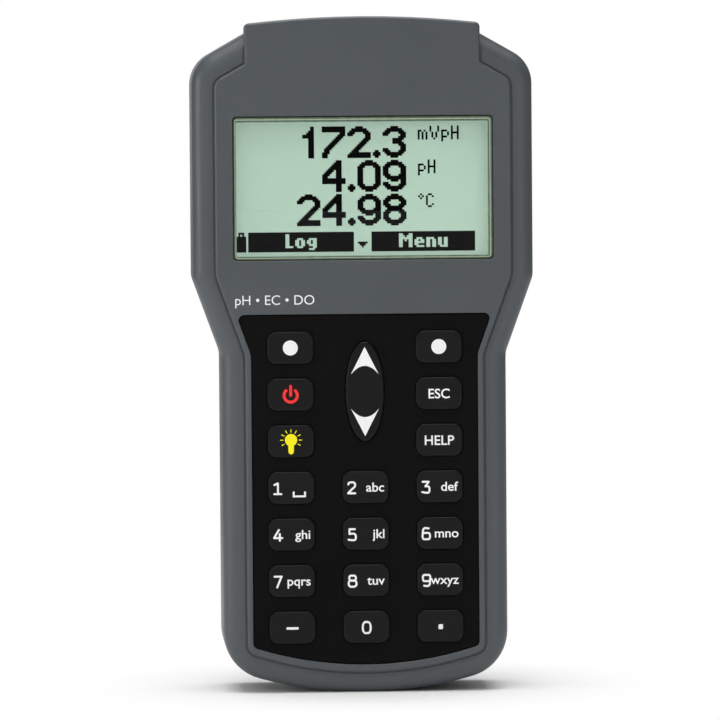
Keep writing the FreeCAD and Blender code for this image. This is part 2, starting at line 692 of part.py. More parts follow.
def front_casing():
    """Return the front shell: stepped front, hood, window opening, keypad recess, bosses and ribs."""
    body = BODY.prism((RIM_Y, PARTING_Y))
    body = body.makeFillet(RIM_ROUND, edges_at_y(body, RIM_Y))
    groove = PANEL.prism((RIM_Y - OVER, RIM_Y + PANEL_GROOVE_DEPTH), -PANEL_GROOVE_WIDTH)
    raised = PANEL.prism((FACE_Y, HOOD_BACK_Y))
    raised = raised.makeFillet(PANEL_EDGE_ROUND, edges_at_y(raised, FACE_Y) + edges_at_y(raised, HOOD_BACK_Y))
    outer = join(body.cut(groove), [raised])

    cavity = BODY.prism((INNER_Y, PARTING_Y + OVER), WALL)
    cavity = cavity.makeFillet(INNER_ROUND, edges_at_y(cavity, INNER_Y))
    hood_cavity = PANEL.prism((INNER_Y, HOOD_BACK_Y - WALL), WALL)
    shell = remove(outer, [cavity, hood_cavity])

    additions = [pocket_walls(outer, (HOOD_BACK_Y - WALL, PARTING_Y))]
    for x, z in mirrored(BOSS_PLACES):
        additions.append(rod_y((x, z), FRONT_BOSS_RADIUS, (INNER_Y, PARTING_Y)))
        additions.append(rod_y((x, z), BOSS_STEP_RADIUS, (INNER_Y, BOARD_Y)))
    rib_range = (INNER_Y, INNER_Y + LCD_RIB_HEIGHT)
    rib_out_x = LCD_HALF_X + SEAT_GAP * 3 + LCD_RIB
    rib_out_z = LCD_HALF_Z + SEAT_GAP * 3 + LCD_RIB
    fence = plate((0, WINDOW_Z), rib_out_x, rib_out_z, LCD_RIB, rib_range)
    fence_hole = plate((0, WINDOW_Z), rib_out_x - LCD_RIB, rib_out_z - LCD_RIB, LCD_RIB / 2, rib_range)
    additions.append(fence.cut(fence_hole))
    shell = join(shell, [addition.common(outer) for addition in additions])

    window = plate((0, WINDOW_Z), WINDOW_HALF_X, WINDOW_HALF_Z, WINDOW_CORNER, (FACE_Y - OVER, WINDOW_LEDGE_Y))
    view = plate((0, WINDOW_Z), WINDOW_HALF_X - WINDOW_LEDGE, WINDOW_HALF_Z - WINDOW_LEDGE,
                 WINDOW_CORNER / 2, (FACE_Y - OVER, INNER_Y + SAME))
    recess = KEYPAD.prism((FACE_Y - OVER, KEYPAD_BACK_Y))
    hatch = KEYPAD.prism((FACE_Y - OVER, INNER_Y + SAME), KEYPAD_LEDGE)
    pilots = [rod_y(place, BOSS_PILOT_RADIUS, (INNER_Y + BOSS_PILOT_FLOOR, PARTING_Y + OVER))
              for place in mirrored(BOSS_PLACES)]
    cuts = [window, view, recess, hatch, underside_cut()] + pocket_cuts() + pilots
    return soften_openings(remove(shell, cuts))


def soften_openings(shell):
    """Round the front edges of the window's opening and of the keypad's recess."""
    for low, high, radius in ((WINDOW_LOW_Z, WINDOW_HIGH_Z, WINDOW_EDGE_ROUND),
                              (KEYPAD_LOW_Z, KEYPAD_TOP_Z, RECESS_EDGE_ROUND)):
        rim = [edge for edge in edges_at_y(shell, FACE_Y)
               if edge.BoundBox.ZMin > low - OVER / 2 and edge.BoundBox.ZMax < high + OVER / 2
               and max(abs(edge.BoundBox.XMin), abs(edge.BoundBox.XMax)) < PANEL_HALF - PANEL_EDGE_ROUND - OVER / 2]
        shell = solid_of(shell.makeFillet(radius, rim))
    return shell


def rear_casing():
    """Return the rear shell: battery bay, cover recess, pocket walls, bosses and stiffening ribs."""
    outer = BODY.prism((PARTING_Y, BACK_Y))
    outer = outer.makeFillet(BACK_ROUND, edges_at_y(outer, BACK_Y))
    cavity = BODY.prism((PARTING_Y - OVER, BACK_Y - WALL), WALL)
    cavity = cavity.makeFillet(INNER_ROUND, edges_at_y(cavity, BACK_Y - WALL))
    shell = remove(outer, [cavity])

    bay_z = (BAY_LOW_Z + BAY_HIGH_Z) / 2
    bay_half_z = (BAY_HIGH_Z - BAY_LOW_Z) / 2
    cover_half_z = (COVER_HIGH_Z - COVER_LOW_Z) / 2
    bay_box = plate((0, bay_z), BAY_HALF + BAY_WALL, bay_half_z + BAY_WALL, BAY_CORNER,
                    (BAY_FLOOR_Y - BAY_WALL, BACK_Y - WALL))
    floor = plate((0, bay_z), COVER_HALF + BAY_WALL, cover_half_z + BAY_WALL, COVER_CORNER,
                  (COVER_SEAT_Y - COVER_FLOOR, BACK_Y - WALL / 2))
    additions = [bay_box, floor, pocket_walls(outer, (PARTING_Y, BACK_Y))]
    for x, z in mirrored(BOSS_PLACES):
        additions.append(rod_y((x, z), REAR_BOSS_RADIUS, (PARTING_Y, BACK_Y - WALL / 2)))
    for place in cover_screw_places():
        start = COVER_SEAT_Y - INSERT_BOSS_LENGTH
        additions.append(rod_y(place, INSERT_BOSS_RADIUS, (start, COVER_SEAT_Y)))
    additions += rear_ribs()
    shell = join(shell, additions)

    well_places = mirrored(BOSS_PLACES)
    cuts = [
        plate((0, bay_z), COVER_HALF, cover_half_z, COVER_CORNER, (COVER_SEAT_Y, BACK_Y + OVER)),
        plate((0, bay_z), BAY_HALF, bay_half_z, BAY_CORNER, (BAY_FLOOR_Y, BACK_Y + OVER)),
        gasket_band((PARTING_Y - OVER, PARTING_Y + CASING_GASKET_DEPTH), SEAT_GAP),
        underside_cut(),
    ]
    cuts += pocket_cuts()
    cuts += [rod_y(place, SCREW_HOLE_RADIUS, (PARTING_Y - OVER, SCREW_SEAT_Y + OVER)) for place in well_places]
    cuts += [rod_y(place, SCREW_WELL_RADIUS, (SCREW_SEAT_Y, BACK_Y + OVER)) for place in well_places]
    for place in cover_screw_places():
        depth = COVER_SEAT_Y - INSERT_LENGTH
        cuts.append(rod_y(place, INSERT_RADIUS, (depth, BACK_Y)))
        cuts.append(rod_y(place, COVER_SCREW_RADIUS + COVER_SCREW_PLAY, (depth - BAY_WALL, BACK_Y)))
    return remove(shell, cuts)


def rear_ribs():
    """Return the stiffening ribs on the inside of the back wall, above the battery bay."""
    low = COVER_HIGH_Z + BAY_WALL
    high = TUB_LOW_Z + WALL
    depth = (BACK_Y - WALL - REAR_RIB_RISE, BACK_Y - WALL / 2)
    thick = REAR_RIB_HALF
    uprights = [block((x - thick, x + thick), depth, (low - WALL, high)) for x in (-REAR_RIB_X, REAR_RIB_X)]
    middle = (low + high) / 2
    level = block((-BODY_HALF + WALL / 2, BODY_HALF - WALL / 2), depth, (middle - thick, middle + thick))
    return uprights + [level]


def cover_screw_places():
    """Return the X and Z of the battery cover's screws."""
    lows = (COVER_SCREW_X, COVER_LOW_Z + COVER_SCREW_EDGE)
    highs = (COVER_SCREW_X, COVER_HIGH_Z - COVER_SCREW_EDGE)
    return mirrored((lows, highs))


def casing_gasket():
    """Return the gasket between the two shells."""
    return gasket_band((PARTING_Y, PARTING_Y + CASING_GASKET_DEPTH), 0.0)


def display_window():
    """Return the clear window plate with softened front edges."""
    pane = plate((0, WINDOW_Z), WINDOW_HALF_X - WINDOW_GAP, WINDOW_HALF_Z - WINDOW_GAP,
                 WINDOW_CORNER - WINDOW_GAP / 2, (WINDOW_Y, WINDOW_BACK_Y))
    return pane.makeChamfer(WINDOW_CHAMFER, edges_at_y(pane, WINDOW_Y)).Solids[0]


def window_gasket():
    """Return the gasket between the window and its ledge."""
    span = (WINDOW_BACK_Y, WINDOW_LEDGE_Y)
    outer = plate((0, WINDOW_Z), WINDOW_HALF_X - WINDOW_GAP, WINDOW_HALF_Z - WINDOW_GAP, WINDOW_CORNER / 2, span)
    margin = WINDOW_LEDGE - SEAT_GAP
    inner = plate((0, WINDOW_Z), WINDOW_HALF_X - margin, WINDOW_HALF_Z - margin, WINDOW_CORNER / 2, span)
    return solid_of(outer.cut(inner))


def lcd_frame():
    """Return the folded metal frame that clasps the display."""
    can = plate((0, WINDOW_Z), LCD_HALF_X, LCD_HALF_Z, LCD_FRAME_SHEET, (INNER_Y, BOARD_Y))
    room = plate((0, WINDOW_Z), LCD_HALF_X - LCD_FRAME_SHEET, LCD_HALF_Z - LCD_FRAME_SHEET,
                 LCD_FRAME_SHEET / 2, (LCD_GLASS_Y, BOARD_Y + OVER))
    view = plate((0, WINDOW_Z), WINDOW_HALF_X - WINDOW_LEDGE + SEAT_GAP, WINDOW_HALF_Z - WINDOW_LEDGE + SEAT_GAP,
                 LCD_FRAME_SHEET, (INNER_Y - OVER, LCD_GLASS_Y))
    return remove(can, [room, view])


def lcd_slab(half_z, y_range):
    """Return one rectangular layer of the display, which just fits between the frame's side walls."""
    half_x = LCD_HALF_X - LCD_FRAME_SHEET - LCD_GAP
    return plate((0, WINDOW_Z), half_x, half_z, LCD_FRAME_SHEET, y_range)


def lcd_glass():
    """Return the display's glass cell."""
    return lcd_slab(LCD_HALF_Z - LCD_FRAME_SHEET - LCD_GAP, (LCD_GLASS_Y, LCD_LIGHT_Y))


def lcd_backlight():
    """Return the light guide behind the glass, short of the two contact strips."""
    return lcd_slab(strip_inner_half() - LCD_GAP, (LCD_LIGHT_Y, LCD_BOARD_Y))


def strip_inner_half():
    """Return how far the contact strips' inner faces are from the display's middle."""
    return LCD_HALF_Z - LCD_FRAME_SHEET - LCD_GAP - LCD_STRIP_WIDTH


def lcd_contact_strips():
    """Return the two rubber strips that join the glass to its board."""
    half_x = LCD_HALF_X - LCD_FRAME_SHEET - LCD_GAP * 2
    inner = strip_inner_half()
    strips = []
    for low in (WINDOW_Z - inner - LCD_STRIP_WIDTH, WINDOW_Z + inner):
        strips.append(block((-half_x, half_x), (LCD_LIGHT_Y, LCD_BOARD_Y), (low, low + LCD_STRIP_WIDTH)))
    return Part.makeCompound(strips)


def lcd_board():
    """Return the display's own circuit board."""
    return lcd_slab(LCD_HALF_Z - LCD_FRAME_SHEET - LCD_GAP, (LCD_BOARD_Y, LCD_BOARD_Y + LCD_BOARD_THICK))


def rocker_prism(margin_x, margin_z, y_range):
    """Return the rocker's oval as a solid along Y."""
    centre = Vector(0, y_range[0], ROCKER_Z)
    tall = centre + Vector(0, 0, ROCKER_HALF_Z + margin_z)
    wide = centre + Vector(ROCKER_HALF_X + margin_x, 0, 0)
    face = Part.Face(Part.Wire([Part.Ellipse(tall, wide, centre).toShape()]))
    return face.extrude(Vector(0, y_range[1] - y_range[0], 0))


def keypad_panel():
    """Return the keypad panel with a hole for every key and the saddles of the rocker's pins."""
    base = KEYPAD.prism((KEYPAD_Y, KEYPAD_BACK_Y), KEYPAD_GAP)
    base = base.makeFillet(KEYPAD_EDGE_ROUND, edges_at_y(base, KEYPAD_Y))
    saddle_x = ROCKER_HUB_HALF_X + ROCKER_PIN_LENGTH - SADDLE_WIDTH
    saddle_depth = ROCKER_AXIS_Y + ROCKER_PIN_RADIUS + SADDLE_WALL
    saddles = []
    for side in (-1, 1):
        xs = sorted((side * saddle_x, side * (saddle_x + SADDLE_WIDTH)))
        heights = (ROCKER_Z - SADDLE_HALF_Z, ROCKER_Z + SADDLE_HALF_Z)
        saddles.append(block(xs, (KEYPAD_BACK_Y, saddle_depth), heights))
    base = join(base, saddles)
    through = (KEYPAD_Y - OVER, KEYPAD_BACK_Y + SAME)
    half_x = KEY_WIDTH / 2 + KEY_GAP
    half_z = KEY_HEIGHT / 2 + KEY_GAP
    holes = [plate(key_centre(name), half_x, half_z, KEY_CORNER + KEY_GAP, through) for name in KEY_PLACES]
    holes.append(rocker_prism(ROCKER_GAP_X, ROCKER_GAP_Z, through))
    holes.append(pivot_rod(ROCKER_PIN_RADIUS + ROCKER_PIN_PLAY, KEYPAD_HALF / 2))
    return remove(base, holes)


def pivot_rod(radius, half_length):
    """Return a rod on the rocker's axis."""
    start = Vector(-half_length, ROCKER_AXIS_Y, ROCKER_Z)
    return Part.makeCylinder(radius, 2 * half_length, start, Vector(1, 0, 0))


def key(name):
    """Return one key: cap with rounded edges, flange behind the panel and plunger."""
    centre = key_centre(name)
    cap = plate(centre, KEY_WIDTH / 2, KEY_HEIGHT / 2, KEY_CORNER, (KEY_TOP_Y, FLANGE_Y))
    cap = cap.makeFillet(KEY_EDGE_ROUND, edges_at_y(cap, KEY_TOP_Y))
    flange = plate(centre, KEY_WIDTH / 2 + KEY_FLANGE_MARGIN, KEY_HEIGHT / 2 + KEY_FLANGE_MARGIN,
                   KEY_CORNER + KEY_FLANGE_MARGIN, (FLANGE_Y, FLANGE_BACK_Y))
    plunger = rod_y(centre, PLUNGER_RADIUS, (FLANGE_BACK_Y, PLUNGER_TIP_Y))
    return join(cap, [flange, plunger])


def rocker_plunger_places():
    """Return the X and Z of the rocker's two plungers."""
    return [(0, ROCKER_Z + side * ROCKER_PLUNGER_Z) for side in (-1, 1)]


def arrow_rocker():
    """Return the rocker: oval cap, hub with its pivot pins and two plungers."""
    skirt_y = KEYPAD_BACK_Y + ROCKER_SKIRT
    cap = rocker_prism(0, 0, (KEY_TOP_Y, skirt_y))
    cap = cap.makeFillet(ROCKER_EDGE_ROUND, edges_at_y(cap, KEY_TOP_Y))
    hub = block((-ROCKER_HUB_HALF_X, ROCKER_HUB_HALF_X), (skirt_y, ROCKER_AXIS_Y + ROCKER_PIN_RADIUS),
                (ROCKER_Z - ROCKER_HUB_HALF_Z, ROCKER_Z + ROCKER_HUB_HALF_Z))
    pins = pivot_rod(ROCKER_PIN_RADIUS, ROCKER_HUB_HALF_X + ROCKER_PIN_LENGTH)
    plungers = [rod_y(place, ROCKER_PLUNGER_RADIUS, (skirt_y, PLUNGER_TIP_Y)) for place in rocker_plunger_places()]
    return join(cap, [hub, pins] + plungers)


def dome_places():
    """Return the X and Z of every snap dome: one under each key and two under the rocker."""
    return [key_centre(name) for name in KEY_PLACES] + rocker_plunger_places()


def cone_y(place, radii, y_range):
    """Return a cone along Y; the radii are those at its two ends."""
    start = Vector(place[0], y_range[0], place[1])
    return Part.makeCone(radii[0], radii[1], y_range[1] - y_range[0], start, Vector(0, 1, 0))


def key_mat():
    """Return the rubber mat with a hollow conical collar round every plunger."""
    half_x = KEY_COLUMN_PITCH + MAT_MARGIN
    rows = [key_centre(name)[1] for name in KEY_PLACES]
    low = min(rows) - MAT_MARGIN
    high = max(rows) + MAT_MARGIN
    base_y = BOARD_Y - MAT_THICK
    base = plate((0, (low + high) / 2), half_x, (high - low) / 2, COLLAR_WALL, (base_y, BOARD_Y))
    collars = [cone_y(place, (COLLAR_TOP_RADIUS, COLLAR_LOW_RADIUS), (COLLAR_TOP_Y, base_y))
               for place in dome_places()]
    inner = (COLLAR_TOP_RADIUS - COLLAR_WALL, COLLAR_LOW_RADIUS - COLLAR_WALL)
    hollows = [cone_y(place, inner, (COLLAR_TOP_Y, base_y)) for place in dome_places()]
    hollows += [rod_y(place, inner[1], (base_y, BOARD_Y + OVER)) for place in dome_places()]
    return remove(join(base, collars), hollows)


def snap_domes():
    """Return the snap domes on the main board."""
    return Part.makeCompound([cone_y(place, (DOME_TOP_RADIUS, DOME_LOW_RADIUS), (DOME_Y, BOARD_Y))
                              for place in dome_places()])


def main_board():
    """Return the main circuit board, which rests on the front bosses and has holes round their upper part."""
    board = BODY.prism((BOARD_Y, BOARD_BACK_Y), WALL + BOARD_GAP)
    through = (BOARD_Y - OVER, BOARD_BACK_Y + OVER)
    top = block((-BODY_HALF, BODY_HALF), through, (TUB_LOW_Z - BOARD_TOP_GAP, HOOD_TOP_Z))
    holes = [rod_y(place, FRONT_BOSS_RADIUS + LCD_GAP, through) for place in mirrored(BOSS_PLACES)]
    return remove(board, [top] + holes)


# Components on the back of the main board: X, Z, half width, half height, height above the board
COMPONENTS = (
    (10.0, 128.0, 7.0, 7.0, 1.4),
    (-6.0, 144.0, 4.0, 2.6, 1.6),
    (20.0, 146.0, 4.4, 3.6, 1.8),
    (27.0, 122.0, 2.6, 5.0, 2.2),
    (-30.0, 142.0, 3.2, 6.0, 2.4),
    (-8.0, 112.0, 10.0, 2.5, 2.6),
    (22.0, 106.0, 6.0, 2.5, 2.2),
)


def board_components():
    """Return the chips, the inductor and the headers on the back of the main board."""
    return Part.makeCompound([block((x - half_x, x + half_x), (BOARD_BACK_Y, BOARD_BACK_Y + rise),
                                    (z - half_z, z + half_z))
                              for x, z, half_x, half_z, rise in COMPONENTS])


def buzzer():
    """Return the buzzer with its sound hole."""
    centre = (BUZZER_X, BUZZER_Z)
    top_y = BOARD_BACK_Y + BUZZER_HEIGHT
    can = rod_y(centre, BUZZER_RADIUS, (BOARD_BACK_Y, top_y))
    hole = rod_y(centre, BUZZER_HOLE_RADIUS, (top_y - BUZZER_HEIGHT / 2, top_y + OVER))
    return remove(can, [hole])


def cell_centres():
    """Return the X of every cell."""
    pitch = 2 * BAY_HALF / CELL_COUNT
    return [(index - (CELL_COUNT - 1) / 2) * pitch for index in range(CELL_COUNT)]


def battery_cells():
    """Return the cells side by side, every other one upside down."""
    cells = []
    for index, x in enumerate(cell_centres()):
        plus_up = index % 2 == 0
        low = BAY_LOW_Z + (spring_room() if plus_up else CONTACT_THICK + CELL_NUB_HEIGHT)
        can = rod_z((x, CELL_Y), CELL_RADIUS, (low, low + CELL_LENGTH))
        can = can.makeChamfer(CELL_EDGE_CHAMFER, can.Edges[0:1] + can.Edges[2:3])
        nub_z = low + CELL_LENGTH if plus_up else low - CELL_NUB_HEIGHT
        nub = rod_z((x, CELL_Y), CELL_NUB_RADIUS, (nub_z, nub_z + CELL_NUB_HEIGHT))
        cells.append(join(can, [nub]))
    return Part.makeCompound(cells)


def spring_room():
    """Return the room between the bay's end wall and the flat end of a cell."""
    return BAY_HIGH_Z - BAY_LOW_Z - CELL_LENGTH - CELL_NUB_HEIGHT - CONTACT_THICK


def battery_contacts():
    """Return the flat contact plates on both end walls of the bay, one for each cell's end."""
    plates = []
    for x in cell_centres():
        for low in (BAY_LOW_Z, BAY_HIGH_Z - CONTACT_THICK):
            half = CONTACT_WIDTH / 2
            plates.append(block((x - half, x + half), (CELL_Y - half, CELL_Y + half), (low, low + CONTACT_THICK)))
    return Part.makeCompound(plates)


def battery_springs():
    """Return the bowed leaf springs that press on the flat end of every cell."""
    springs = []
    rise = spring_room() - CONTACT_THICK
    half = CONTACT_WIDTH / 2
    for index, x in enumerate(cell_centres()):
        sign = 1 if index % 2 == 0 else -1
        foot = BAY_LOW_Z + CONTACT_THICK if sign > 0 else BAY_HIGH_Z - CONTACT_THICK
        start = Vector(x - half, CELL_Y - half / 2, foot)
        end = Vector(x + half, CELL_Y - half / 2, foot)
        peak = Vector(x, CELL_Y - half / 2, foot + sign * rise)
        step = Vector(SPRING_THICK, 0, 0)
        under = peak - Vector(0, 0, sign * SPRING_THICK)
        wire = Part.Wire([
            Part.Arc(start, peak, end).toShape(),
            Part.LineSegment(end, end - step).toShape(),
            Part.Arc(end - step, under, start + step).toShape(),
            Part.LineSegment(start + step, start).toShape(),
        ])
        springs.append(Part.Face(wire).extrude(Vector(0, half, 0)))
    return Part.makeCompound(springs)


def battery_cover():
    """Return the battery cover: plate, locating lip, gasket groove and sunk screw holes."""
    centre = (0, (BAY_LOW_Z + BAY_HIGH_Z) / 2)
    half_x = COVER_HALF - COVER_GAP
    half_z = (COVER_HIGH_Z - COVER_LOW_Z) / 2 - COVER_GAP
    base = plate(centre, half_x, half_z, COVER_CORNER - COVER_GAP, (COVER_Y, BACK_Y))
    base = base.makeFillet(COVER_EDGE_ROUND, edges_at_y(base, BACK_Y))
    lip_x = BAY_HALF - COVER_LIP_GAP
    lip_z = (BAY_HIGH_Z - BAY_LOW_Z) / 2 - COVER_LIP_GAP
    lip_range = (COVER_SEAT_Y - COVER_LIP_HEIGHT, COVER_Y)
    lip = plate(centre, lip_x, lip_z, BAY_CORNER, lip_range)
    lip_room = plate(centre, lip_x - COVER_LIP_WIDTH, lip_z - COVER_LIP_WIDTH, BAY_CORNER / 2, lip_range)
    base = join(base, [lip.cut(lip_room)])
    cuts = [cover_gasket_band((COVER_Y - OVER, COVER_Y + COVER_GASKET_DEPTH), SEAT_GAP)]
    for place in cover_screw_places():
        cuts.append(rod_y(place, COVER_SCREW_RADIUS + COVER_SCREW_PLAY, (COVER_Y - OVER, BACK_Y + OVER)))
        head_y = BACK_Y - COVER_SCREW_SINK - COVER_SCREW_HEAD_HEIGHT
        cuts.append(rod_y(place, COVER_SCREW_HEAD_RADIUS + COVER_SCREW_PLAY, (head_y, BACK_Y + OVER)))
    return remove(base, cuts)


def cover_gasket_band(y_range, play):
    """Return the band of the cover's gasket, or with a play the groove that it lies in."""
    centre = (0, (BAY_LOW_Z + BAY_HIGH_Z) / 2)
    half_z = (BAY_HIGH_Z - BAY_LOW_Z) / 2
    start = SEAT_GAP * 4 - play
    end = SEAT_GAP * 4 + COVER_GASKET_WIDTH + play
    outer = plate(centre, BAY_HALF + end, half_z + end, BAY_CORNER + end, y_range)
    inner = plate(centre, BAY_HALF + start, half_z + start, BAY_CORNER + start, y_range)
    return solid_of(outer.cut(inner))


def battery_cover_gasket():
    """Return the gasket of the battery cover."""
    return cover_gasket_band((COVER_Y - COVER_LIFT / 2, COVER_Y + COVER_GASKET_DEPTH), 0.0)


def slotted_screw(place, head_y, head, shank, tip_y):
    """Return a screw along Y with a cross slot; head and shank are (radius, height) and radius."""
    head_radius, head_height = head
    body = rod_y(place, shank, (tip_y, head_y))
    cap = rod_y(place, head_radius, (head_y, head_y + head_height))
    x, z = place
    half = SCREW_SLOT_WIDTH / 2
    reach = head_radius * SCREW_SLOT_REACH
    slot_range = (head_y + head_height - SCREW_SLOT_DEPTH, head_y + head_height + OVER)
    slots = [block((x - half, x + half), slot_range, (z - reach, z + reach)),
             block((x - reach, x + reach), slot_range, (z - half, z + half))]
    return remove(join(cap, [body]), slots)


def battery_cover_screws():
    """Return the captive screws of the battery cover."""
    head_y = BACK_Y - COVER_SCREW_SINK - COVER_SCREW_HEAD_HEIGHT
    tip_y = head_y - COVER_SCREW_LENGTH
    head = (COVER_SCREW_HEAD_RADIUS, COVER_SCREW_HEAD_HEIGHT)
    return Part.makeCompound([slotted_screw(place, head_y, head, COVER_SCREW_RADIUS, tip_y)
                              for place in cover_screw_places()])


def battery_cover_inserts():
    """Return the threaded inserts that the cover's screws go into."""
    span = (COVER_SEAT_Y - INSERT_LENGTH, COVER_SEAT_Y)
    through = (span[0] - OVER, span[1] + OVER)
    inserts = []
    for place in cover_screw_places():
        thread_room = rod_y(place, COVER_SCREW_RADIUS + SEAT_GAP, through)
        inserts.append(remove(rod_y(place, INSERT_RADIUS, span), [thread_room]))
    return Part.makeCompound(inserts)


def casing_screws():
    """Return the screws that hold the two shells together."""
    tip_y = INNER_Y + BOSS_PILOT_FLOOR + SCREW_TIP_GAP
    head = (SCREW_HEAD_RADIUS, SCREW_HEAD_HEIGHT)
    return Part.makeCompound([slotted_screw(place, SCREW_SEAT_Y, head, SCREW_RADIUS, tip_y)
                              for place in mirrored(BOSS_PLACES)])


def connector_panel():
    """Return the plate that closes the pocket's floor and carries both sockets."""
    panel = pocket_tool(PLATE_TONGUE - PLATE_PLAY, (PLATE_Z, PLATE_TOP_Z))
    below = (PLATE_Z - OVER, PLATE_TOP_Z + OVER)
    cuts = [
        rod_z((PROBE_X, POCKET_Y), PROBE_SHANK_RADIUS + PROBE_HOLE_PLAY, below),
        column((USB_X, POCKET_Y), USB_MOUTH_HALF_X, USB_MOUTH_HALF_Y, USB_MOUTH_HALF_Y - SEAT_GAP, below),
        rod_z((anchor_x(), POCKET_Y), ANCHOR_PIN_RADIUS + ANCHOR_PIN_PLAY, below),
    ]
    return remove(panel, cuts)


def connector_seal():
    """Return the seal under the rim of the connector panel."""
    span = (PLATE_SEAT_Z, PLATE_Z)
    outer = pocket_tool(PLATE_TONGUE - PLATE_PLAY, span)
    inner = pocket_tool(PLATE_TONGUE - PLATE_PLAY - PLATE_SEAL_WIDTH, span)
    return remove(outer, [inner])


def probe_rod(radius, z_range):
    """Return a rod on the probe socket's axis."""
    return rod_z((PROBE_X, POCKET_Y), radius, z_range)


def probe_socket_shell():
    """Return the threaded shell of the probe socket, with its flange, shank and keyway."""
    collar = probe_rod(PROBE_COLLAR_RADIUS, (PROBE_FLANGE_Z, PROBE_TOP_Z))
    flange = probe_rod(PROBE_FLANGE_RADIUS, (PROBE_FLANGE_Z, PROBE_COLLAR_Z))
    shank = probe_rod(PROBE_SHANK_RADIUS, (PROBE_SHANK_Z, PROBE_FLANGE_Z))
    bore = probe_rod(PROBE_BORE_RADIUS, (PROBE_STEP_Z, PROBE_TOP_Z + OVER))
    step = probe_rod(PROBE_STEP_RADIUS, (PROBE_SHANK_Z - OVER, PROBE_TOP_Z))
    half = PROBE_KEY_WIDTH / 2
    keyway = block((PROBE_X - half, PROBE_X + half),
                   (POCKET_Y + PROBE_BORE_RADIUS / 2, POCKET_Y + PROBE_BORE_RADIUS + PROBE_KEY_DEPTH),
                   (PROBE_INSERT_TOP_Z, PROBE_TOP_Z + OVER))
    return remove(join(collar, [flange, shank]), [bore, step, keyway])


def probe_pin_places():
    """Return the X and Y of the contact pins: a circle of them and one in the middle."""
    places = [(PROBE_X, POCKET_Y)]
    for index in range(PROBE_PIN_COUNT):
        angle = 2 * math.pi * (index + 0.5) / PROBE_PIN_COUNT
        places.append((PROBE_X + PROBE_PIN_CIRCLE * math.sin(angle), POCKET_Y + PROBE_PIN_CIRCLE * math.cos(angle)))
    return places


def probe_socket_insert():
    """Return the insulating insert that rests on the shell's inner step."""
    upper = probe_rod(PROBE_BORE_RADIUS - SEAT_GAP, (PROBE_STEP_Z, PROBE_INSERT_TOP_Z))
    lower = probe_rod(PROBE_STEP_RADIUS - SEAT_GAP, (PROBE_SHANK_Z - PROBE_INSERT_DROP, PROBE_STEP_Z))
    span = (SOCKET_BOARD_Z, PROBE_TOP_Z)
    holes = [rod_z(place, PROBE_PIN_RADIUS + PROBE_PIN_PLAY, span) for place in probe_pin_places()]
    return remove(join(upper, [lower]), holes)


def probe_socket_pins():
    """Return the contact pins, which stand on the socket board."""
    span = (SOCKET_BOARD_Z, PROBE_INSERT_TOP_Z + PROBE_PIN_RISE)
    return Part.makeCompound([rod_z(place, PROBE_PIN_RADIUS, span) for place in probe_pin_places()])


def probe_socket_nut():
    """Return the hexagon nut under the connector panel."""
    corner = PROBE_NUT_FLATS / 2 / math.cos(math.pi / 6)
    low = PLATE_Z - PROBE_NUT_THICK
    points = []
    for index in range(7):
        angle = math.pi / 3 * index
        points.append(Vector(PROBE_X + corner * math.cos(angle), POCKET_Y + corner * math.sin(angle), low))
    hexagon = Part.Face(Part.makePolygon(points)).extrude(Vector(0, 0, PROBE_NUT_THICK))
    return remove(hexagon, [probe_rod(PROBE_SHANK_RADIUS + SEAT_GAP, (low - OVER, PLATE_Z + OVER))])


def probe_socket_seal():
    """Return the sealing ring under the probe socket's flange."""
    span = (PLATE_TOP_Z, PROBE_FLANGE_Z)
    ring = probe_rod(PROBE_FLANGE_RADIUS - SEAT_GAP * 4, span)
    return remove(ring, [probe_rod(PROBE_FLANGE_RADIUS - SEAT_GAP * 4 - PROBE_SEAL_WIDTH, span)])


def usb_socket_shell():
    """Return the metal shell of the USB socket, which stands on the socket board."""
    span = (SOCKET_BOARD_Z, PLATE_TOP_Z - USB_TOP_DROP)
    centre = (USB_X, POCKET_Y)
    outer = column(centre, USB_HALF_X, USB_HALF_Y, USB_CORNER, span)
    inner = column(centre, USB_HALF_X - USB_SHEET, USB_HALF_Y - USB_SHEET, USB_INNER_CORNER,
                   (SOCKET_BOARD_Z - OVER, PLATE_TOP_Z))
    return remove(outer, [inner])


def usb_socket_tongue():
    """Return the insulating base and tongue inside the USB socket's shell."""
    centre = (USB_X, POCKET_Y)
    base = column(centre, USB_HALF_X - USB_SHEET - SEAT_GAP, USB_HALF_Y - USB_SHEET - SEAT_GAP,
                  USB_INNER_CORNER, (SOCKET_BOARD_Z, SOCKET_BOARD_Z + USB_BASE_HEIGHT))
    tongue = column(centre, USB_TONGUE_HALF_X, USB_TONGUE_HALF_Y, SEAT_GAP,
                    (SOCKET_BOARD_Z + USB_BASE_HEIGHT, PLATE_TOP_Z - USB_TOP_DROP - CONTACT_THICK))
    return join(base, [tongue])


def socket_board():
    """Return the small board under both sockets."""
    half_x = POCKET_HALF - SOCKET_BOARD_MARGIN
    half_y = POCKET_DEPTH / 2 - SOCKET_BOARD_MARGIN
    span = (SOCKET_BOARD_Z - SOCKET_BOARD_THICK, SOCKET_BOARD_Z)
    return column((0, POCKET_Y), half_x, half_y, SOCKET_BOARD_CORNER, span)


def anchor_x():
    """Return the X of the pin that anchors the USB cap's tether."""
    return CAP_HINGE_X + CAP_HINGE_GAP + CAP_STRAP_HALF_Y


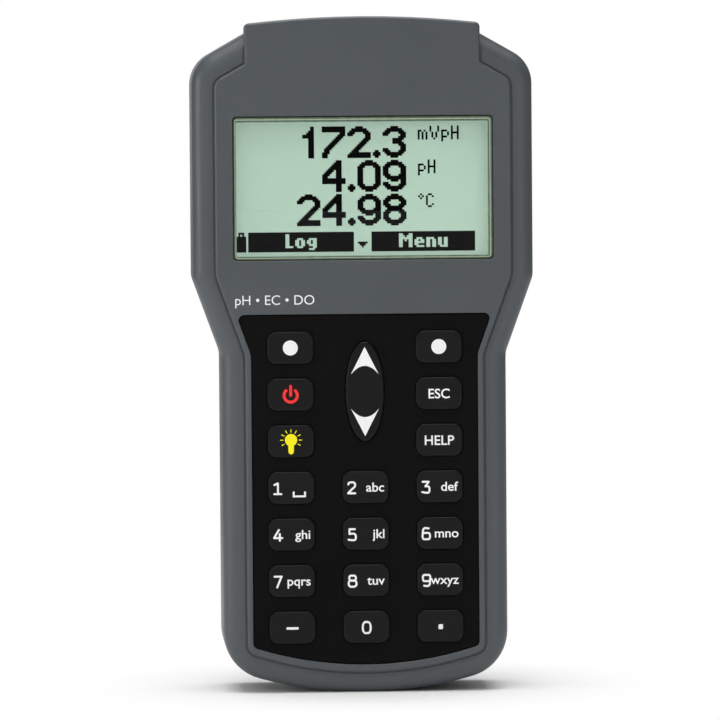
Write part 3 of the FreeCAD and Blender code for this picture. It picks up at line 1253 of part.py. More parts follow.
def usb_cap():
    """Return the rubber cap: oval pad, plug, half the tether and a bead on the axis that it bends about."""
    centre = (USB_X, POCKET_Y)
    pad = column(centre, CAP_HALF_X, CAP_HALF_Y, CAP_HALF_Y - SEAT_GAP, (CAP_Z, CAP_Z + CAP_THICK))
    pad = pad.makeFillet(CAP_EDGE_ROUND, edges_at_z(pad, CAP_Z + CAP_THICK))
    plug = column(centre, USB_MOUTH_HALF_X - CAP_PLUG_GAP, USB_MOUTH_HALF_Y - CAP_PLUG_GAP,
                  USB_MOUTH_HALF_Y - CAP_PLUG_GAP - SEAT_GAP, (PLATE_TOP_Z - CAP_PLUG_DEPTH, CAP_Z))
    strap = block((USB_X, CAP_HINGE_X), (POCKET_Y - CAP_STRAP_HALF_Y, POCKET_Y + CAP_STRAP_HALF_Y),
                  (CAP_Z, CAP_HINGE_Z))
    start = Vector(CAP_HINGE_X, POCKET_Y - CAP_STRAP_HALF_Y, CAP_HINGE_Z)
    bead = Part.makeCylinder(CAP_BEAD_RADIUS, 2 * CAP_STRAP_HALF_Y, start, Vector(0, 1, 0))
    return join(pad, [plug, strap, bead])


def usb_cap_anchor():
    """Return the fixed half of the tether, with the pin that is pressed into the connector panel."""
    centre = (anchor_x(), POCKET_Y)
    button = rod_z(centre, CAP_STRAP_HALF_Y, (PLATE_TOP_Z, CAP_HINGE_Z))
    tab = block((CAP_HINGE_X + CAP_HINGE_GAP, anchor_x()),
                (POCKET_Y - CAP_STRAP_HALF_Y, POCKET_Y + CAP_STRAP_HALF_Y), (CAP_Z, CAP_HINGE_Z))
    pin = rod_z(centre, ANCHOR_PIN_RADIUS, (PLATE_Z - CONTACT_THICK, PLATE_TOP_Z))
    return join(button, [tab, pin])


def build_all():
    """Return every node's shape by name."""
    shapes = {
        "front_casing": front_casing(),
        "rear_casing": rear_casing(),
        "casing_gasket": casing_gasket(),
        "display_window": display_window(),
        "window_gasket": window_gasket(),
        "lcd_frame": lcd_frame(),
        "lcd_glass": lcd_glass(),
        "lcd_backlight": lcd_backlight(),
        "lcd_contact_strips": lcd_contact_strips(),
        "lcd_board": lcd_board(),
        "keypad_panel": keypad_panel(),
        "arrow_rocker": arrow_rocker(),
        "key_mat": key_mat(),
        "snap_domes": snap_domes(),
        "main_board": main_board(),
        "board_components": board_components(),
        "buzzer": buzzer(),
        "battery_cells": battery_cells(),
        "battery_contacts": battery_contacts(),
        "battery_springs": battery_springs(),
        "battery_cover": battery_cover(),
        "battery_cover_gasket": battery_cover_gasket(),
        "battery_cover_screws": battery_cover_screws(),
        "battery_cover_inserts": battery_cover_inserts(),
        "casing_screws": casing_screws(),
        "connector_panel": connector_panel(),
        "connector_seal": connector_seal(),
        "probe_socket_shell": probe_socket_shell(),
        "probe_socket_insert": probe_socket_insert(),
        "probe_socket_pins": probe_socket_pins(),
        "probe_socket_nut": probe_socket_nut(),
        "probe_socket_seal": probe_socket_seal(),
        "usb_socket_shell": usb_socket_shell(),
        "usb_socket_tongue": usb_socket_tongue(),
        "socket_board": socket_board(),
        "usb_cap": usb_cap(),
        "usb_cap_anchor": usb_cap_anchor(),
    }
    for name in KEY_PLACES:
        shapes[name] = key(name)
    return shapes


def main():
    """Write one STEP file for every node."""
    os.makedirs("parts", exist_ok=True)
    for name, shape in build_all().items():
        shape.exportStep(os.path.join("parts", name + ".step"))
        print(name, "solids", len(shape.Solids), "valid", shape.isValid(), "volume", round(shape.Volume, 2))


main()
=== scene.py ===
"""Looks of a handheld water quality meter: finishes, legends, display picture and studio round its frame.

Sizes are in millimetres in the row frame: X to the right, Y from the front to the back, Z up. They are turned
into metres where a mesh is made. Depths and scales of a finish's pattern are in metres.
"""

import json
import logging
import math
from dataclasses import dataclass, field
from enum import Enum
from typing import Sequence, Union

import bpy
import numpy as np
from mathutils import Matrix, Vector

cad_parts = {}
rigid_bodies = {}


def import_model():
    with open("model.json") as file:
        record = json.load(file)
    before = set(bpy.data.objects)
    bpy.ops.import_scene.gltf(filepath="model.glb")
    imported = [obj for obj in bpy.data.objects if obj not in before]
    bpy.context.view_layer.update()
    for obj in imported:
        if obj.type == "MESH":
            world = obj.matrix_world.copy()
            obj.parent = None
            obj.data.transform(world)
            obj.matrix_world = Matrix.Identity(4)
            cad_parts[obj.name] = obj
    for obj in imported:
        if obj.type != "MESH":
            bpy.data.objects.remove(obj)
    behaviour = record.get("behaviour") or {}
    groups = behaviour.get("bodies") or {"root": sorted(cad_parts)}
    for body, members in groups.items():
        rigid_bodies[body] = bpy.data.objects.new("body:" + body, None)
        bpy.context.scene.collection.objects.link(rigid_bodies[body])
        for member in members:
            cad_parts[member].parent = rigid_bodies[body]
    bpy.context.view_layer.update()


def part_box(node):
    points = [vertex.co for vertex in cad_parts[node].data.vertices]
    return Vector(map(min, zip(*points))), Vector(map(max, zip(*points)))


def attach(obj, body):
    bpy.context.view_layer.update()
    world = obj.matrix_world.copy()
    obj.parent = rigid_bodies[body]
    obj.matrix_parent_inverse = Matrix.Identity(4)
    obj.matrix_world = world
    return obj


LOG = logging.getLogger("meter")
MM = 0.001

Colour = tuple[float, float, float, float]
Box = tuple[np.ndarray, np.ndarray]
Path = tuple[tuple[float, float], ...]
Socket = bpy.types.NodeSocket
Feed = Union[Socket, tuple[float, ...], float]


def ink(red: int, green: int, blue: int) -> Colour:
    """Turn a screen colour of 0 to 255 into the linear colour that shaders take.

    Args:
        red, green, blue: the colour as a picture of it shows it.

    Returns:
        The linear colour with full alpha.
    """
    parts = np.array([red, green, blue]) / 255
    low = parts / 12.92
    high = ((parts + 0.055) / 1.055) ** 2.4
    return (*np.where(parts <= 0.04045, low, high).tolist(), 1.0)


def node_box(name: str) -> Box:
    """Return the lowest and highest corner of a frame node in millimetres."""
    low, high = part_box(name)
    return np.array(low) / MM, np.array(high) / MM


class Sheet:
    """A node tree that is filled in by short calls."""

    def __init__(self, tree: bpy.types.NodeTree) -> None:
        """Keep the tree that the nodes go into."""
        self.tree = tree

    def fill(self, node: bpy.types.Node, feeds: dict[Union[str, int], Feed]) -> None:
        """Feed inputs of a node.

        Args:
            node: the node.
            feeds: by the input's name or number, a socket to link to it or a plain value to set.
        """
        for key, value in feeds.items():
            if isinstance(value, Socket):
                self.tree.links.new(value, node.inputs[key])
            else:
                node.inputs[key].default_value = value

    def add(self, kind: str, feeds: dict[Union[str, int], Feed], **settings: object) -> bpy.types.Node:
        """Add a node, set its own properties and feed its inputs.

        Args:
            kind: the node's type, without the leading ShaderNode.
            feeds: what its inputs get, as fill takes it.
            settings: properties of the node by name.

        Returns:
            The new node.
        """
        node = self.tree.nodes.new(kind if kind.startswith("Node") else "ShaderNode" + kind)
        for name, value in settings.items():
            setattr(node, name, value)
        self.fill(node, feeds)
        return node

    def math(self, operation: str, *values: Feed) -> Socket:
        """Add a Math node, feed its inputs in order and return its output."""
        return self.add("Math", dict(enumerate(values)), operation=operation).outputs[0]

    def blend(self, mask: Socket, low: Colour, high: Colour) -> Socket:
        """Return the low colour where a mask is 0, the high one where it is 1, and a mix between."""
        return self.add("Mix", {"Factor": mask, 6: low, 7: high}, data_type="RGBA").outputs[2]

    def spread(self, mask: Socket, low: float, high: float) -> Socket:
        """Map a mask from 0..1 to low..high and return the result."""
        return self.add("MapRange", {"Value": mask, "To Min": low, "To Max": high}).outputs["Result"]

    def share(self, value: Socket, low: float, high: float, easing: str = "LINEAR") -> Socket:
        """Return how far a value has come on its way from low to high, as 0 to 1."""
        feeds = {"Value": value, "From Min": low, "From Max": high}
        return self.add("MapRange", feeds, interpolation_type=easing).outputs["Result"]

    def noise(self, place: Socket, scale: Feed, detail: float) -> Socket:
        """Return a noise of so many patterns per metre, with so many finer layers added."""
        return self.add("TexNoise", {"Vector": place, "Scale": scale, "Detail": detail}).outputs[0]

    def place(self) -> Socket:
        """Return the piece's own coordinates, in metres."""
        return self.add("TexCoord", {}).outputs["Object"]

    def raised(self, height: Socket, depth: float) -> Socket:
        """Return the normal of a surface that a pattern of 0 to 1 raises by a depth in metres."""
        return self.add("Bump", {"Strength": 1.0, "Distance": depth, "Height": height}).outputs["Normal"]

    def overlay(self, share: Socket, under: bpy.types.Node, over: bpy.types.Node) -> None:
        """Put a mix of two shaders on the material's output.

        Args:
            share: how much of the upper shader shows, 0 to 1.
            under, over: the two shaders.
        """
        mix = self.add("MixShader", {0: share, 1: under.outputs[0], 2: over.outputs[0]})
        self.fill(self.tree.nodes["Material Output"], {"Surface": mix.outputs[0]})


class Pattern:
    """A pattern over a piece's surface that several finishes share as one node group."""

    name: str
    inputs: tuple[str, ...]
    outputs: tuple[str, ...]

    def wire(self, sheet: Sheet, given: bpy.types.Node) -> dict[str, Socket]:
        """Wire the pattern; each kind of pattern has its own.

        Args:
            sheet: the group's sheet.
            given: the group's input node.

        Returns:
            The group's outputs by name.
        """
        raise NotImplementedError

    def tree(self) -> bpy.types.NodeTree:
        """Return the pattern's group, building it the first time.

        Returns:
            The group; its first input is a place and its other sockets are numbers.
        """
        if self.name in bpy.data.node_groups:
            return bpy.data.node_groups[self.name]
        tree = bpy.data.node_groups.new(self.name, "ShaderNodeTree")
        tree.interface.new_socket(name="Place", in_out="INPUT", socket_type="NodeSocketVector")
        for way, labels in (("INPUT", self.inputs), ("OUTPUT", self.outputs)):
            for label in labels:
                tree.interface.new_socket(name=label, in_out=way, socket_type="NodeSocketFloat")
        sheet = Sheet(tree)
        wired = self.wire(sheet, sheet.add("NodeGroupInput", {}))
        sheet.add("NodeGroupOutput", wired)
        return tree

    def on(self, sheet: Sheet, place: Socket, *values: float) -> bpy.types.bpy_prop_collection:
        """Add the pattern to a material.

        Args:
            sheet: the material's sheet.
            place: the coordinates that the pattern reads.
            values: what its number inputs get, in order.

        Returns:
            The pattern's outputs, which go by name.
        """
        feeds = dict(zip(("Place", *self.inputs), (place, *values)))
        return sheet.add("Group", feeds, node_tree=self.tree()).outputs


@dataclass(frozen=True)
class MouldedGrain(Pattern):
    """Moulded grain: pebbles of one size with finer noise on them, and a slow drift of tone."""

    name: str = "moulded grain"
    inputs: tuple[str, ...] = ("Fineness",)
    outputs: tuple[str, ...] = ("Height", "Tone")
    softness: float = 0.7
    finer_by: float = 1.7
    drifts_per_metre: float = 38.0
    pebble_share: float = 0.9
    height_share: float = 0.6
    drift_share: float = 0.75

    def wire(self, sheet: Sheet, given: bpy.types.Node) -> dict[str, Socket]:
        """Add pebbles and fine noise up to a height, and take a broad noise for the tone.

        Args:
            sheet: the group's sheet.
            given: the group's input node.

        Returns:
            The group's outputs by name.
        """
        place, fineness = given.outputs["Place"], given.outputs["Fineness"]
        feeds = {"Vector": place, "Scale": fineness, "Smoothness": self.softness}
        pebble = sheet.add("TexVoronoi", feeds, feature="SMOOTH_F1").outputs["Distance"]
        fine = sheet.noise(place, sheet.math("MULTIPLY", fineness, self.finer_by), detail=3.0)
        height = sheet.math("MULTIPLY_ADD", pebble, self.pebble_share, fine)
        drift = sheet.noise(place, self.drifts_per_metre, detail=2.0)
        return {
            "Height": sheet.math("MULTIPLY", height, self.height_share),
            "Tone": sheet.math("MULTIPLY", drift, self.drift_share),
        }


@dataclass(frozen=True)
class HandlingMarks(Pattern):
    """Handling marks: broad faint smudges where fingers have rubbed a surface."""

    name: str = "handling marks"
    inputs: tuple[str, ...] = ("Spread",)
    outputs: tuple[str, ...] = ("Rubbed",)
    faint: float = 0.42
    full: float = 0.68

    def wire(self, sheet: Sheet, given: bpy.types.Node) -> dict[str, Socket]:
        """Keep what lies over the faint level of a broad noise.

        Args:
            sheet: the group's sheet.
            given: the group's input node.

        Returns:
            The group's outputs by name.
        """
        broad = sheet.noise(given.outputs["Place"], given.outputs["Spread"], detail=4.0)
        return {"Rubbed": sheet.share(broad, self.faint, self.full)}


GRAIN = MouldedGrain()
MARKS = HandlingMarks()


class Finish:
    """What all finishes share: a name, and a material made once and put on any number of pieces."""

    name: str

    def build(self, sheet: Sheet, surface: bpy.types.Node) -> None:
        """Wire this finish into the surface shader; each kind of finish has its own.

        Args:
            sheet: the material's sheet.
            surface: the material's surface shader.
        """
        raise NotImplementedError

    def material(self) -> bpy.types.Material:
        """Return the finish's material, building it the first time.

        Returns:
            The material with a Principled surface that the finish has wired.
        """
        if self.name in bpy.data.materials:
            return bpy.data.materials[self.name]
        material = bpy.data.materials.new(self.name)
        material.use_nodes = True
        self.build(Sheet(material.node_tree), material.node_tree.nodes["Principled BSDF"])
        return material

    def dress(self, piece: bpy.types.Object) -> None:
        """Put the finish on a piece in place of whatever it wears."""
        piece.data.materials.clear()
        piece.data.materials.append(self.material())


@dataclass(frozen=True)
class Moulded(Finish):
    """A moulded plastic or rubber with a fine spark-eroded grain."""

    name: str
    dark: Colour
    light: Colour
    roughness: tuple[float, float]
    cells_per_metre: float
    depth: float
    specular: float = 0.5
    smudges_per_metre: float = 55.0
    grain_share: float = 0.55

    def build(self, sheet: Sheet, surface: bpy.types.Node) -> None:
        """Mix two near colours by slow drift and grain, and bend the normal by the grain.

        Args:
            sheet: the material's sheet.
            surface: the material's surface shader.
        """
        place = sheet.place()
        grain = GRAIN.on(sheet, place, self.cells_per_metre)
        marks = MARKS.on(sheet, place, self.smudges_per_metre)
        mask = sheet.math("MULTIPLY_ADD", grain["Height"], self.grain_share, grain["Tone"])
        sheet.fill(surface, {
            "Base Color": sheet.blend(mask, self.dark, self.light),
            "Roughness": sheet.spread(marks["Rubbed"], *self.roughness),
            "Specular IOR Level": self.specular,
            "Normal": sheet.raised(grain["Height"], self.depth),
        })


@dataclass(frozen=True)
class Printed(Finish):
    """Screen-printed ink with a faintly uneven coat."""

    name: str
    colour: Colour
    worn: Colour
    specular: float = 0.4
    spots_per_metre: float = 2600.0
    contrast: float = 3.0
    roughness: tuple[float, float] = (0.42, 0.6)

    def build(self, sheet: Sheet, surface: bpy.types.Node) -> None:
        """Let the ink go a little thinner in small spots.

        Args:
            sheet: the material's sheet.
            surface: the material's surface shader.
        """
        spots = sheet.noise(sheet.place(), self.spots_per_metre, detail=3.0)
        thin = sheet.math("POWER", spots, self.contrast)
        sheet.fill(surface, {
            "Base Color": sheet.blend(thin, self.colour, self.worn),
            "Roughness": sheet.spread(spots, *self.roughness),
            "Specular IOR Level": self.specular,
        })


class Sheen(Enum):
    """How a metal's surface is worked: how far its lines are squeezed along X, Y and Z."""

    TURNED = (1.0, 1.0, 26.0)
    BRUSHED = (1.0, 26.0, 26.0)
    PLATED = (1.0, 1.0, 1.0)


@dataclass(frozen=True)
class Metal(Finish):
    """A bare or plated metal."""

    name: str
    dark: Colour
    light: Colour
    roughness: tuple[float, float]
    sheen: Sheen
    lines_per_metre: float = 420.0
    depth: float = 0.000004

    def build(self, sheet: Sheet, surface: bpy.types.Node) -> None:
        """Stretch a noise along the tool's path and let it drive tone, gloss and a shallow bump.

        Args:
            sheet: the material's sheet.
            surface: the material's surface shader.
        """
        along = sheet.add("Mapping", {"Vector": sheet.place(), "Scale": self.sheen.value})
        lines = sheet.noise(along.outputs["Vector"], self.lines_per_metre, detail=4.0)
        sheet.fill(surface, {
            "Base Color": sheet.blend(lines, self.dark, self.light),
            "Roughness": sheet.spread(lines, *self.roughness),
            "Metallic": 1.0,
            "Normal": sheet.raised(lines, self.depth),
        })


@dataclass(frozen=True)
class ClearPlate(Finish):
    """Clear cast plastic with a polished face and faint dust."""

    name: str
    tint: Colour
    dust_per_metre: float = 900.0
    contrast: float = 6.0
    dusty_roughness: float = 0.12
    refraction: float = 1.49

    def build(self, sheet: Sheet, surface: bpy.types.Node) -> None:
        """Pass light through, keep a polish that dust breaks, and let lamp light reach what lies behind.

        Args:
            sheet: the material's sheet.
            surface: the material's surface shader.
        """
        specks = sheet.noise(sheet.place(), self.dust_per_metre, detail=5.0)
        dust = sheet.math("POWER", specks, self.contrast)
        sheet.fill(surface, {
            "Base Color": self.tint,
            "Roughness": sheet.spread(dust, 0.0, self.dusty_roughness),
            "Transmission Weight": 1.0,
            "IOR": self.refraction,
        })
        clear = sheet.add("BsdfTransparent", {"Color": self.tint})
        sheet.overlay(sheet.add("LightPath", {}).outputs["Is Shadow Ray"], surface, clear)


@dataclass(frozen=True)
class DisplayFace(Finish):
    """The pale ground of a reflective display, with the hair-fine columns of its electrodes and a painted
    light of its own that lifts it evenly over the shade of the window's rim.
    """

    name: str
    dark: Colour
    light: Colour
    columns_per_metre: float
    glow: float
    drifts_per_metre: float = 22.0
    spots_per_metre: float = 1500.0
    column_share: float = 0.05
    fine_share: float = 0.25
    drift_share: float = 0.8
    roughness: tuple[float, float] = (0.34, 0.46)

    def build(self, sheet: Sheet, surface: bpy.types.Node) -> None:
        """Mix the two greens by columns and a slow drift, and let them shine evenly by themselves as painted
        light that lifts the shade of the window's rim.

        Args:
            sheet: the material's sheet.
            surface: the material's surface shader.
        """
        place = sheet.place()
        drift = sheet.noise(place, self.drifts_per_metre, detail=2.0)
        fine = sheet.noise(place, self.spots_per_metre, detail=2.0)
        across = sheet.add("SeparateXYZ", {0: place}).outputs["X"]
        column = sheet.math("SINE", sheet.math("MULTIPLY", across, self.columns_per_metre * math.tau))
        mask = sheet.math("MULTIPLY", column, self.column_share)
        mask = sheet.math("MULTIPLY_ADD", fine, self.fine_share, mask)
        mask = sheet.math("MULTIPLY_ADD", drift, self.drift_share, mask)
        green = sheet.blend(mask, self.dark, self.light)
        sheet.fill(surface, {
            "Base Color": green,
            # painted light: the green shines by itself so that the shade of the window's rim on the display
            # barely shows
            "Emission Color": green,
            "Emission Strength": self.glow,
            "Roughness": sheet.spread(fine, *self.roughness),
        })


@dataclass(frozen=True)
class Banded(Finish):
    """A surface whose colour steps across its width, read from the piece's own band attribute; on the
    window's rim the steps include painted shade.
    """

    name: str
    bands: tuple[tuple[float, Colour], ...]
    spots_per_metre: float = 300.0
    wander: float = 0.03
    roughness: tuple[float, float] = (0.2, 0.35)

    def build(self, sheet: Sheet, surface: bpy.types.Node) -> None:
        """Ramp the colours along the band and break them with a faint noise.

        Args:
            sheet: the material's sheet.
            surface: the material's surface shader.
        """
        band = sheet.add("Attribute", {}, attribute_name="band").outputs["Fac"]
        noise = sheet.noise(sheet.place(), self.spots_per_metre, detail=3.0)
        ramp = sheet.add("ValToRGB", {"Fac": sheet.math("MULTIPLY_ADD", noise, self.wander, band)})
        steps = ramp.color_ramp.elements
        for _ in range(len(self.bands) - len(steps)):
            steps.new(1.0)
        for step, (place, colour) in zip(steps, self.bands):
            step.position = place
            step.color = colour
        sheet.fill(surface, {
            "Base Color": ramp.outputs["Color"],
            "Roughness": sheet.spread(noise, *self.roughness),
        })


@dataclass(frozen=True)
class BoardMask(Finish):
    """Green solder mask over copper tracks that show as a lighter net."""

    name: str
    mask: Colour
    track: Colour
    tracks_per_metre: float = 260.0
    track_width: float = 0.035
    track_depth: float = 0.00003
    specks_per_metre: float = 1200.0
    roughness: tuple[float, float] = (0.25, 0.4)

    def build(self, sheet: Sheet, surface: bpy.types.Node) -> None:
        """Draw the tracks where a brick pattern's joints run on the upright board, and gloss the mask.

        Args:
            sheet: the material's sheet.
            surface: the material's surface shader.
        """
        upright = sheet.add("Mapping", {"Vector": sheet.place(), "Rotation": (math.pi / 2, 0.0, 0.0)})
        tracks = sheet.add("TexBrick", {
            "Vector": upright.outputs["Vector"],
            "Scale": self.tracks_per_metre,
            "Mortar Size": self.track_width,
        }).outputs["Fac"]
        speck = sheet.noise(sheet.place(), self.specks_per_metre, detail=2.0)
        sheet.fill(surface, {
            "Base Color": sheet.blend(tracks, self.mask, self.track),
            "Roughness": sheet.spread(speck, *self.roughness),
            "Normal": sheet.raised(tracks, self.track_depth),
        })


@dataclass(frozen=True)
class PaleFloor(Finish):
    """The floor's white, which keeps the object's shadow near it and runs into the backdrop further out."""

    name: str
    colour: Colour
    plain_from: float
    plain_to: float
    roughness: float = 0.9
    specular: float = 0.1

    def build(self, sheet: Sheet, surface: bpy.types.Node) -> None:
        """Lay a pale matt surface under plain white, whose share grows with the distance from the object.

        To the eye, the share is the distance mapped from where plain white starts to where it is full.

        Args:
            sheet: the material's sheet.
            surface: the material's surface shader.
        """
        sheet.fill(surface, {
            "Base Color": self.colour,
            "Roughness": self.roughness,
            "Specular IOR Level": self.specular,
        })
        away = sheet.add("VectorMath", {0: sheet.place()}, operation="LENGTH").outputs["Value"]
        share = sheet.share(away, self.plain_from, self.plain_to, "SMOOTHSTEP")
        eye = sheet.add("LightPath", {}).outputs["Is Camera Ray"]
        sheet.overlay(sheet.math("MULTIPLY", share, eye), surface, sheet.add("Emission", {}))


CASING_GREY = Moulded("casing grey", ink(67, 72, 75), ink(79, 84, 87), (0.38, 0.46), 3300.0, 0.000016)
KEYPAD_BLACK = Moulded("keypad black", ink(9, 9, 9), ink(18, 18, 18), (0.5, 0.62), 2700.0, 0.00003, 0.05)
KEY_BLACK = Moulded("key black", ink(14, 14, 15), ink(22, 22, 23), (0.4, 0.5), 3100.0, 0.000014, 0.16)
RUBBER_BLACK = Moulded("rubber black", ink(22, 22, 23), ink(34, 34, 35), (0.7, 0.85), 2200.0, 0.00002, 0.3)
SILICONE_GREY = Moulded(
    "silicone grey", ink(128, 130, 132), ink(150, 152, 154), (0.55, 0.7), 1500.0, 0.00001, 0.4
)
PLASTIC_BLACK = Moulded("connector black", ink(18, 18, 19), ink(30, 30, 31), (0.4, 0.55), 2600.0, 0.000012)
LIGHT_GUIDE = Moulded(
    "milky light guide", ink(205, 214, 205), ink(222, 230, 222), (0.25, 0.35), 800.0, 0.000005
)
CELL_SLEEVE = Moulded("cell sleeve", ink(38, 40, 44), ink(52, 55, 60), (0.22, 0.34), 700.0, 0.000004)
WINDOW_CLEAR = ClearPlate("window clear", (0.97, 0.99, 0.975, 1.0))
# the display's green; its emission of 0.52 is painted light that evens out the shade of the window's rim
DISPLAY_GREEN = DisplayFace("display green", ink(160, 184, 169), ink(173, 195, 180), 1868.0, 0.52)
DOT_DARK = Printed("display dot", ink(2, 3, 2), ink(5, 7, 5), 0.0)
INK_WHITE = Printed("white legend", ink(250, 250, 250), ink(228, 228, 228))
INK_RED = Printed("red legend", ink(255, 45, 45), ink(232, 40, 40))
INK_YELLOW = Printed("yellow legend", ink(255, 245, 0), ink(238, 224, 8))
STEEL = Metal("bright steel", ink(168, 170, 172), ink(205, 206, 207), (0.22, 0.38), Sheen.BRUSHED)
BRASS = Metal("plain brass", ink(176, 146, 88), ink(208, 178, 112), (0.25, 0.4), Sheen.TURNED)
GOLD = Metal("contact gold", ink(214, 178, 92), ink(240, 205, 120), (0.15, 0.25), Sheen.PLATED)
BOARD_GREEN = BoardMask("board green", ink(16, 74, 42), ink(34, 110, 62))
FLOOR_WHITE = PaleFloor("pale floor", (0.95, 0.95, 0.95, 1.0), 0.022, 0.092)
# The display's edge seen through the window, outside in: a dark line, grey-green and pale bands, a dark green
# band that is painted shade cast by the window's rim, and the display's green.
RIM_BAND_AND_SHADE = Banded(
    "window rim band and painted shade",
    (
        (0.0, ink(48, 64, 40)),
        (0.1, ink(84, 100, 74)),
        (0.2, ink(98, 112, 88)),
        (0.3, ink(100, 114, 92)),
        (0.42, ink(172, 184, 162)),
        (0.5, ink(176, 190, 168)),
        # painted shade: the window's rim shading the display
        (0.6, ink(84, 104, 86)),
        (0.75, ink(72, 94, 78)),
        (0.88, ink(124, 148, 130)),
        (1.0, ink(178, 204, 188)),
    ),
)


def rays(angles: np.ndarray) -> np.ndarray:
    """Return (cos a, sin a) for each angle a."""
    return np.stack([np.cos(angles), np.sin(angles)], axis=-1)


def rounded_rectangle(half_x: float, half_z: float, radius: float, steps: int) -> np.ndarray:
    """Return points round a rectangle with round corners, anticlockwise seen from the front.

    Each corner is a quarter circle about its own centre: point = centre + radius * (cos a, sin a), with a
    over the quarter. The four quarters follow each other, so the straight sides lie between their ends.

    Args:
        half_x, half_z: half the width and half the height.
        radius: radius of the corners.
        steps: points on each corner.

    Returns:
        Array of 4 * steps rows of (x, z).
    """
    quarter = np.linspace(0, math.pi / 2, steps)
    turns = np.arange(4)[:, None] * math.pi / 2 + quarter
    signs = np.array([[1, 1], [-1, 1], [-1, -1], [1, -1]])
    centres = signs * np.array([half_x - radius, half_z - radius])
    return (centres[:, None] + radius * rays(turns)).reshape(-1, 2)


@dataclass
class Solid:
    """Points and faces of one piece while it is being put together."""

    points: np.ndarray
    faces: list[list[int]]

    def volume(self) -> float:
        """Work out the volume: a sixth of the sum of a . (b x c) over each face's fan of triangles.

        Returns:
            The volume, which is negative where the faces point inwards.
        """
        total = 0.0
        for count in sorted({len(face) for face in self.faces}):
            same = np.array([face for face in self.faces if len(face) == count])
            first, middle, last = (self.points[part] for part in (same[:, :1], same[:, 1:-1], same[:, 2:]))
            total += float(np.sum(first * np.cross(middle, last)))
        return total / 6

    def outward(self) -> "Solid":
        """Return the solid with its faces turned outwards, which a positive volume shows."""
        if self.volume() >= 0:
            return self
        return Solid(self.points, [face[::-1] for face in self.faces])


def loft(rings: np.ndarray) -> Solid:
    """Join rings of equal counts of points into a closed solid with a flat cap on each end.

    Quad (i, j) joins points j and j + 1 of ring i to the same points of ring i + 1, and the last point of a
    ring goes on to its first.

    Args:
        rings: array of (rings, points, 3).

    Returns:
        The closed solid, faces outwards.
    """
    rows, columns, _ = rings.shape
    index = np.arange(rows * columns).reshape(rows, columns)
    after = np.roll(index, -1, axis=1)
    quads = np.stack([index[:-1], after[:-1], after[1:], index[1:]], axis=-1).reshape(-1, 4)
    faces = quads.tolist() + [index[0][::-1].tolist(), index[-1].tolist()]
    return Solid(rings.reshape(-1, 3), faces).outward()


def closed_band(rings: np.ndarray) -> Solid:
    """Join rings into a tube that closes on itself both ways, such as a frame.

    Args:
        rings: array of (rings, points, 3), the last ring next to the first.

    Returns:
        The closed solid, faces outwards.
    """
    rows, columns, _ = rings.shape
    index = np.arange(rows * columns).reshape(rows, columns)
    after = np.roll(index, -1, axis=1)
    down = np.roll(index, -1, axis=0)
    both = np.roll(after, -1, axis=0)
    quads = np.stack([index, after, both, down], axis=-1).reshape(-1, 4)
    return Solid(rings.reshape(-1, 3), quads.tolist()).outward()


def slab(outline: np.ndarray, front_y: float, back_y: float) -> Solid:
    """Cut a flat plate.

    Args:
        outline: its outline of (x, z) rows.
        front_y, back_y: depths of its two faces.

    Returns:
        The closed plate, faces outwards.
    """
    depths = np.array([front_y, back_y])
    rings = np.empty((2, len(outline), 3))
    rings[..., 0] = outline[:, 0]
    rings[..., 1] = depths[:, None]
    rings[..., 2] = outline[:, 1]
    return loft(rings)


def gathered(solids: Sequence[Solid]) -> Solid:
    """Put several solids into one, each keeping its own faces.

    Args:
        solids: the solids.

    Returns:
        All points and all faces, in the same order.
    """
    points: list[np.ndarray] = []
    faces: list[list[int]] = []
    count = 0
    for solid in solids:
        points.append(solid.points)
        faces += [[corner + count for corner in face] for face in solid.faces]
        count += len(solid.points)
    return Solid(np.concatenate(points), faces)


def added(name: str, data: bpy.types.ID) -> bpy.types.Object:
    """Add an object to the scene.

    Args:
        name: the object's name.
        data: the mesh, curve, lamp or camera that it shows.

    Returns:
        The new object.
    """
    item = bpy.data.objects.new(name, data)
    bpy.context.scene.collection.objects.link(item)
    return item


def make_piece(name: str, solid: Solid, finish: Finish, body: str, crease: float = 35.0) -> bpy.types.Object:
    """Make a piece of the object from a solid and set it on its body.

    Args:
        name: the piece's name.
        solid: its points in millimetres and its faces.
        finish: what it wears.
        body: the frame body that it rides on.
        crease: edges that turn by more than this many degrees stay sharp.

    Returns:
        The new object.
    """
    mesh = bpy.data.meshes.new(name)
    mesh.from_pydata((solid.points * MM).tolist(), [], solid.faces)
    mesh.polygons.foreach_set("use_smooth", np.ones(len(mesh.polygons), dtype=bool))
    mesh.set_sharp_from_angle(angle=math.radians(crease))
    mesh.update()
    piece = added(name, mesh)
    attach(piece, body)
    finish.dress(piece)
    LOG.info("piece %s: %d faces on %s", name, len(mesh.polygons), body)
    return piece


def dress_nodes(finish: Finish, *names: str) -> None:
    """Put a finish on nodes of the frame that are shown as they are.

    Args:
        finish: what they wear.
        names: the nodes' names.
    """
    for name in names:
        finish.dress(bpy.data.objects[name])
        LOG.info("node %s: %s", name, finish.name)


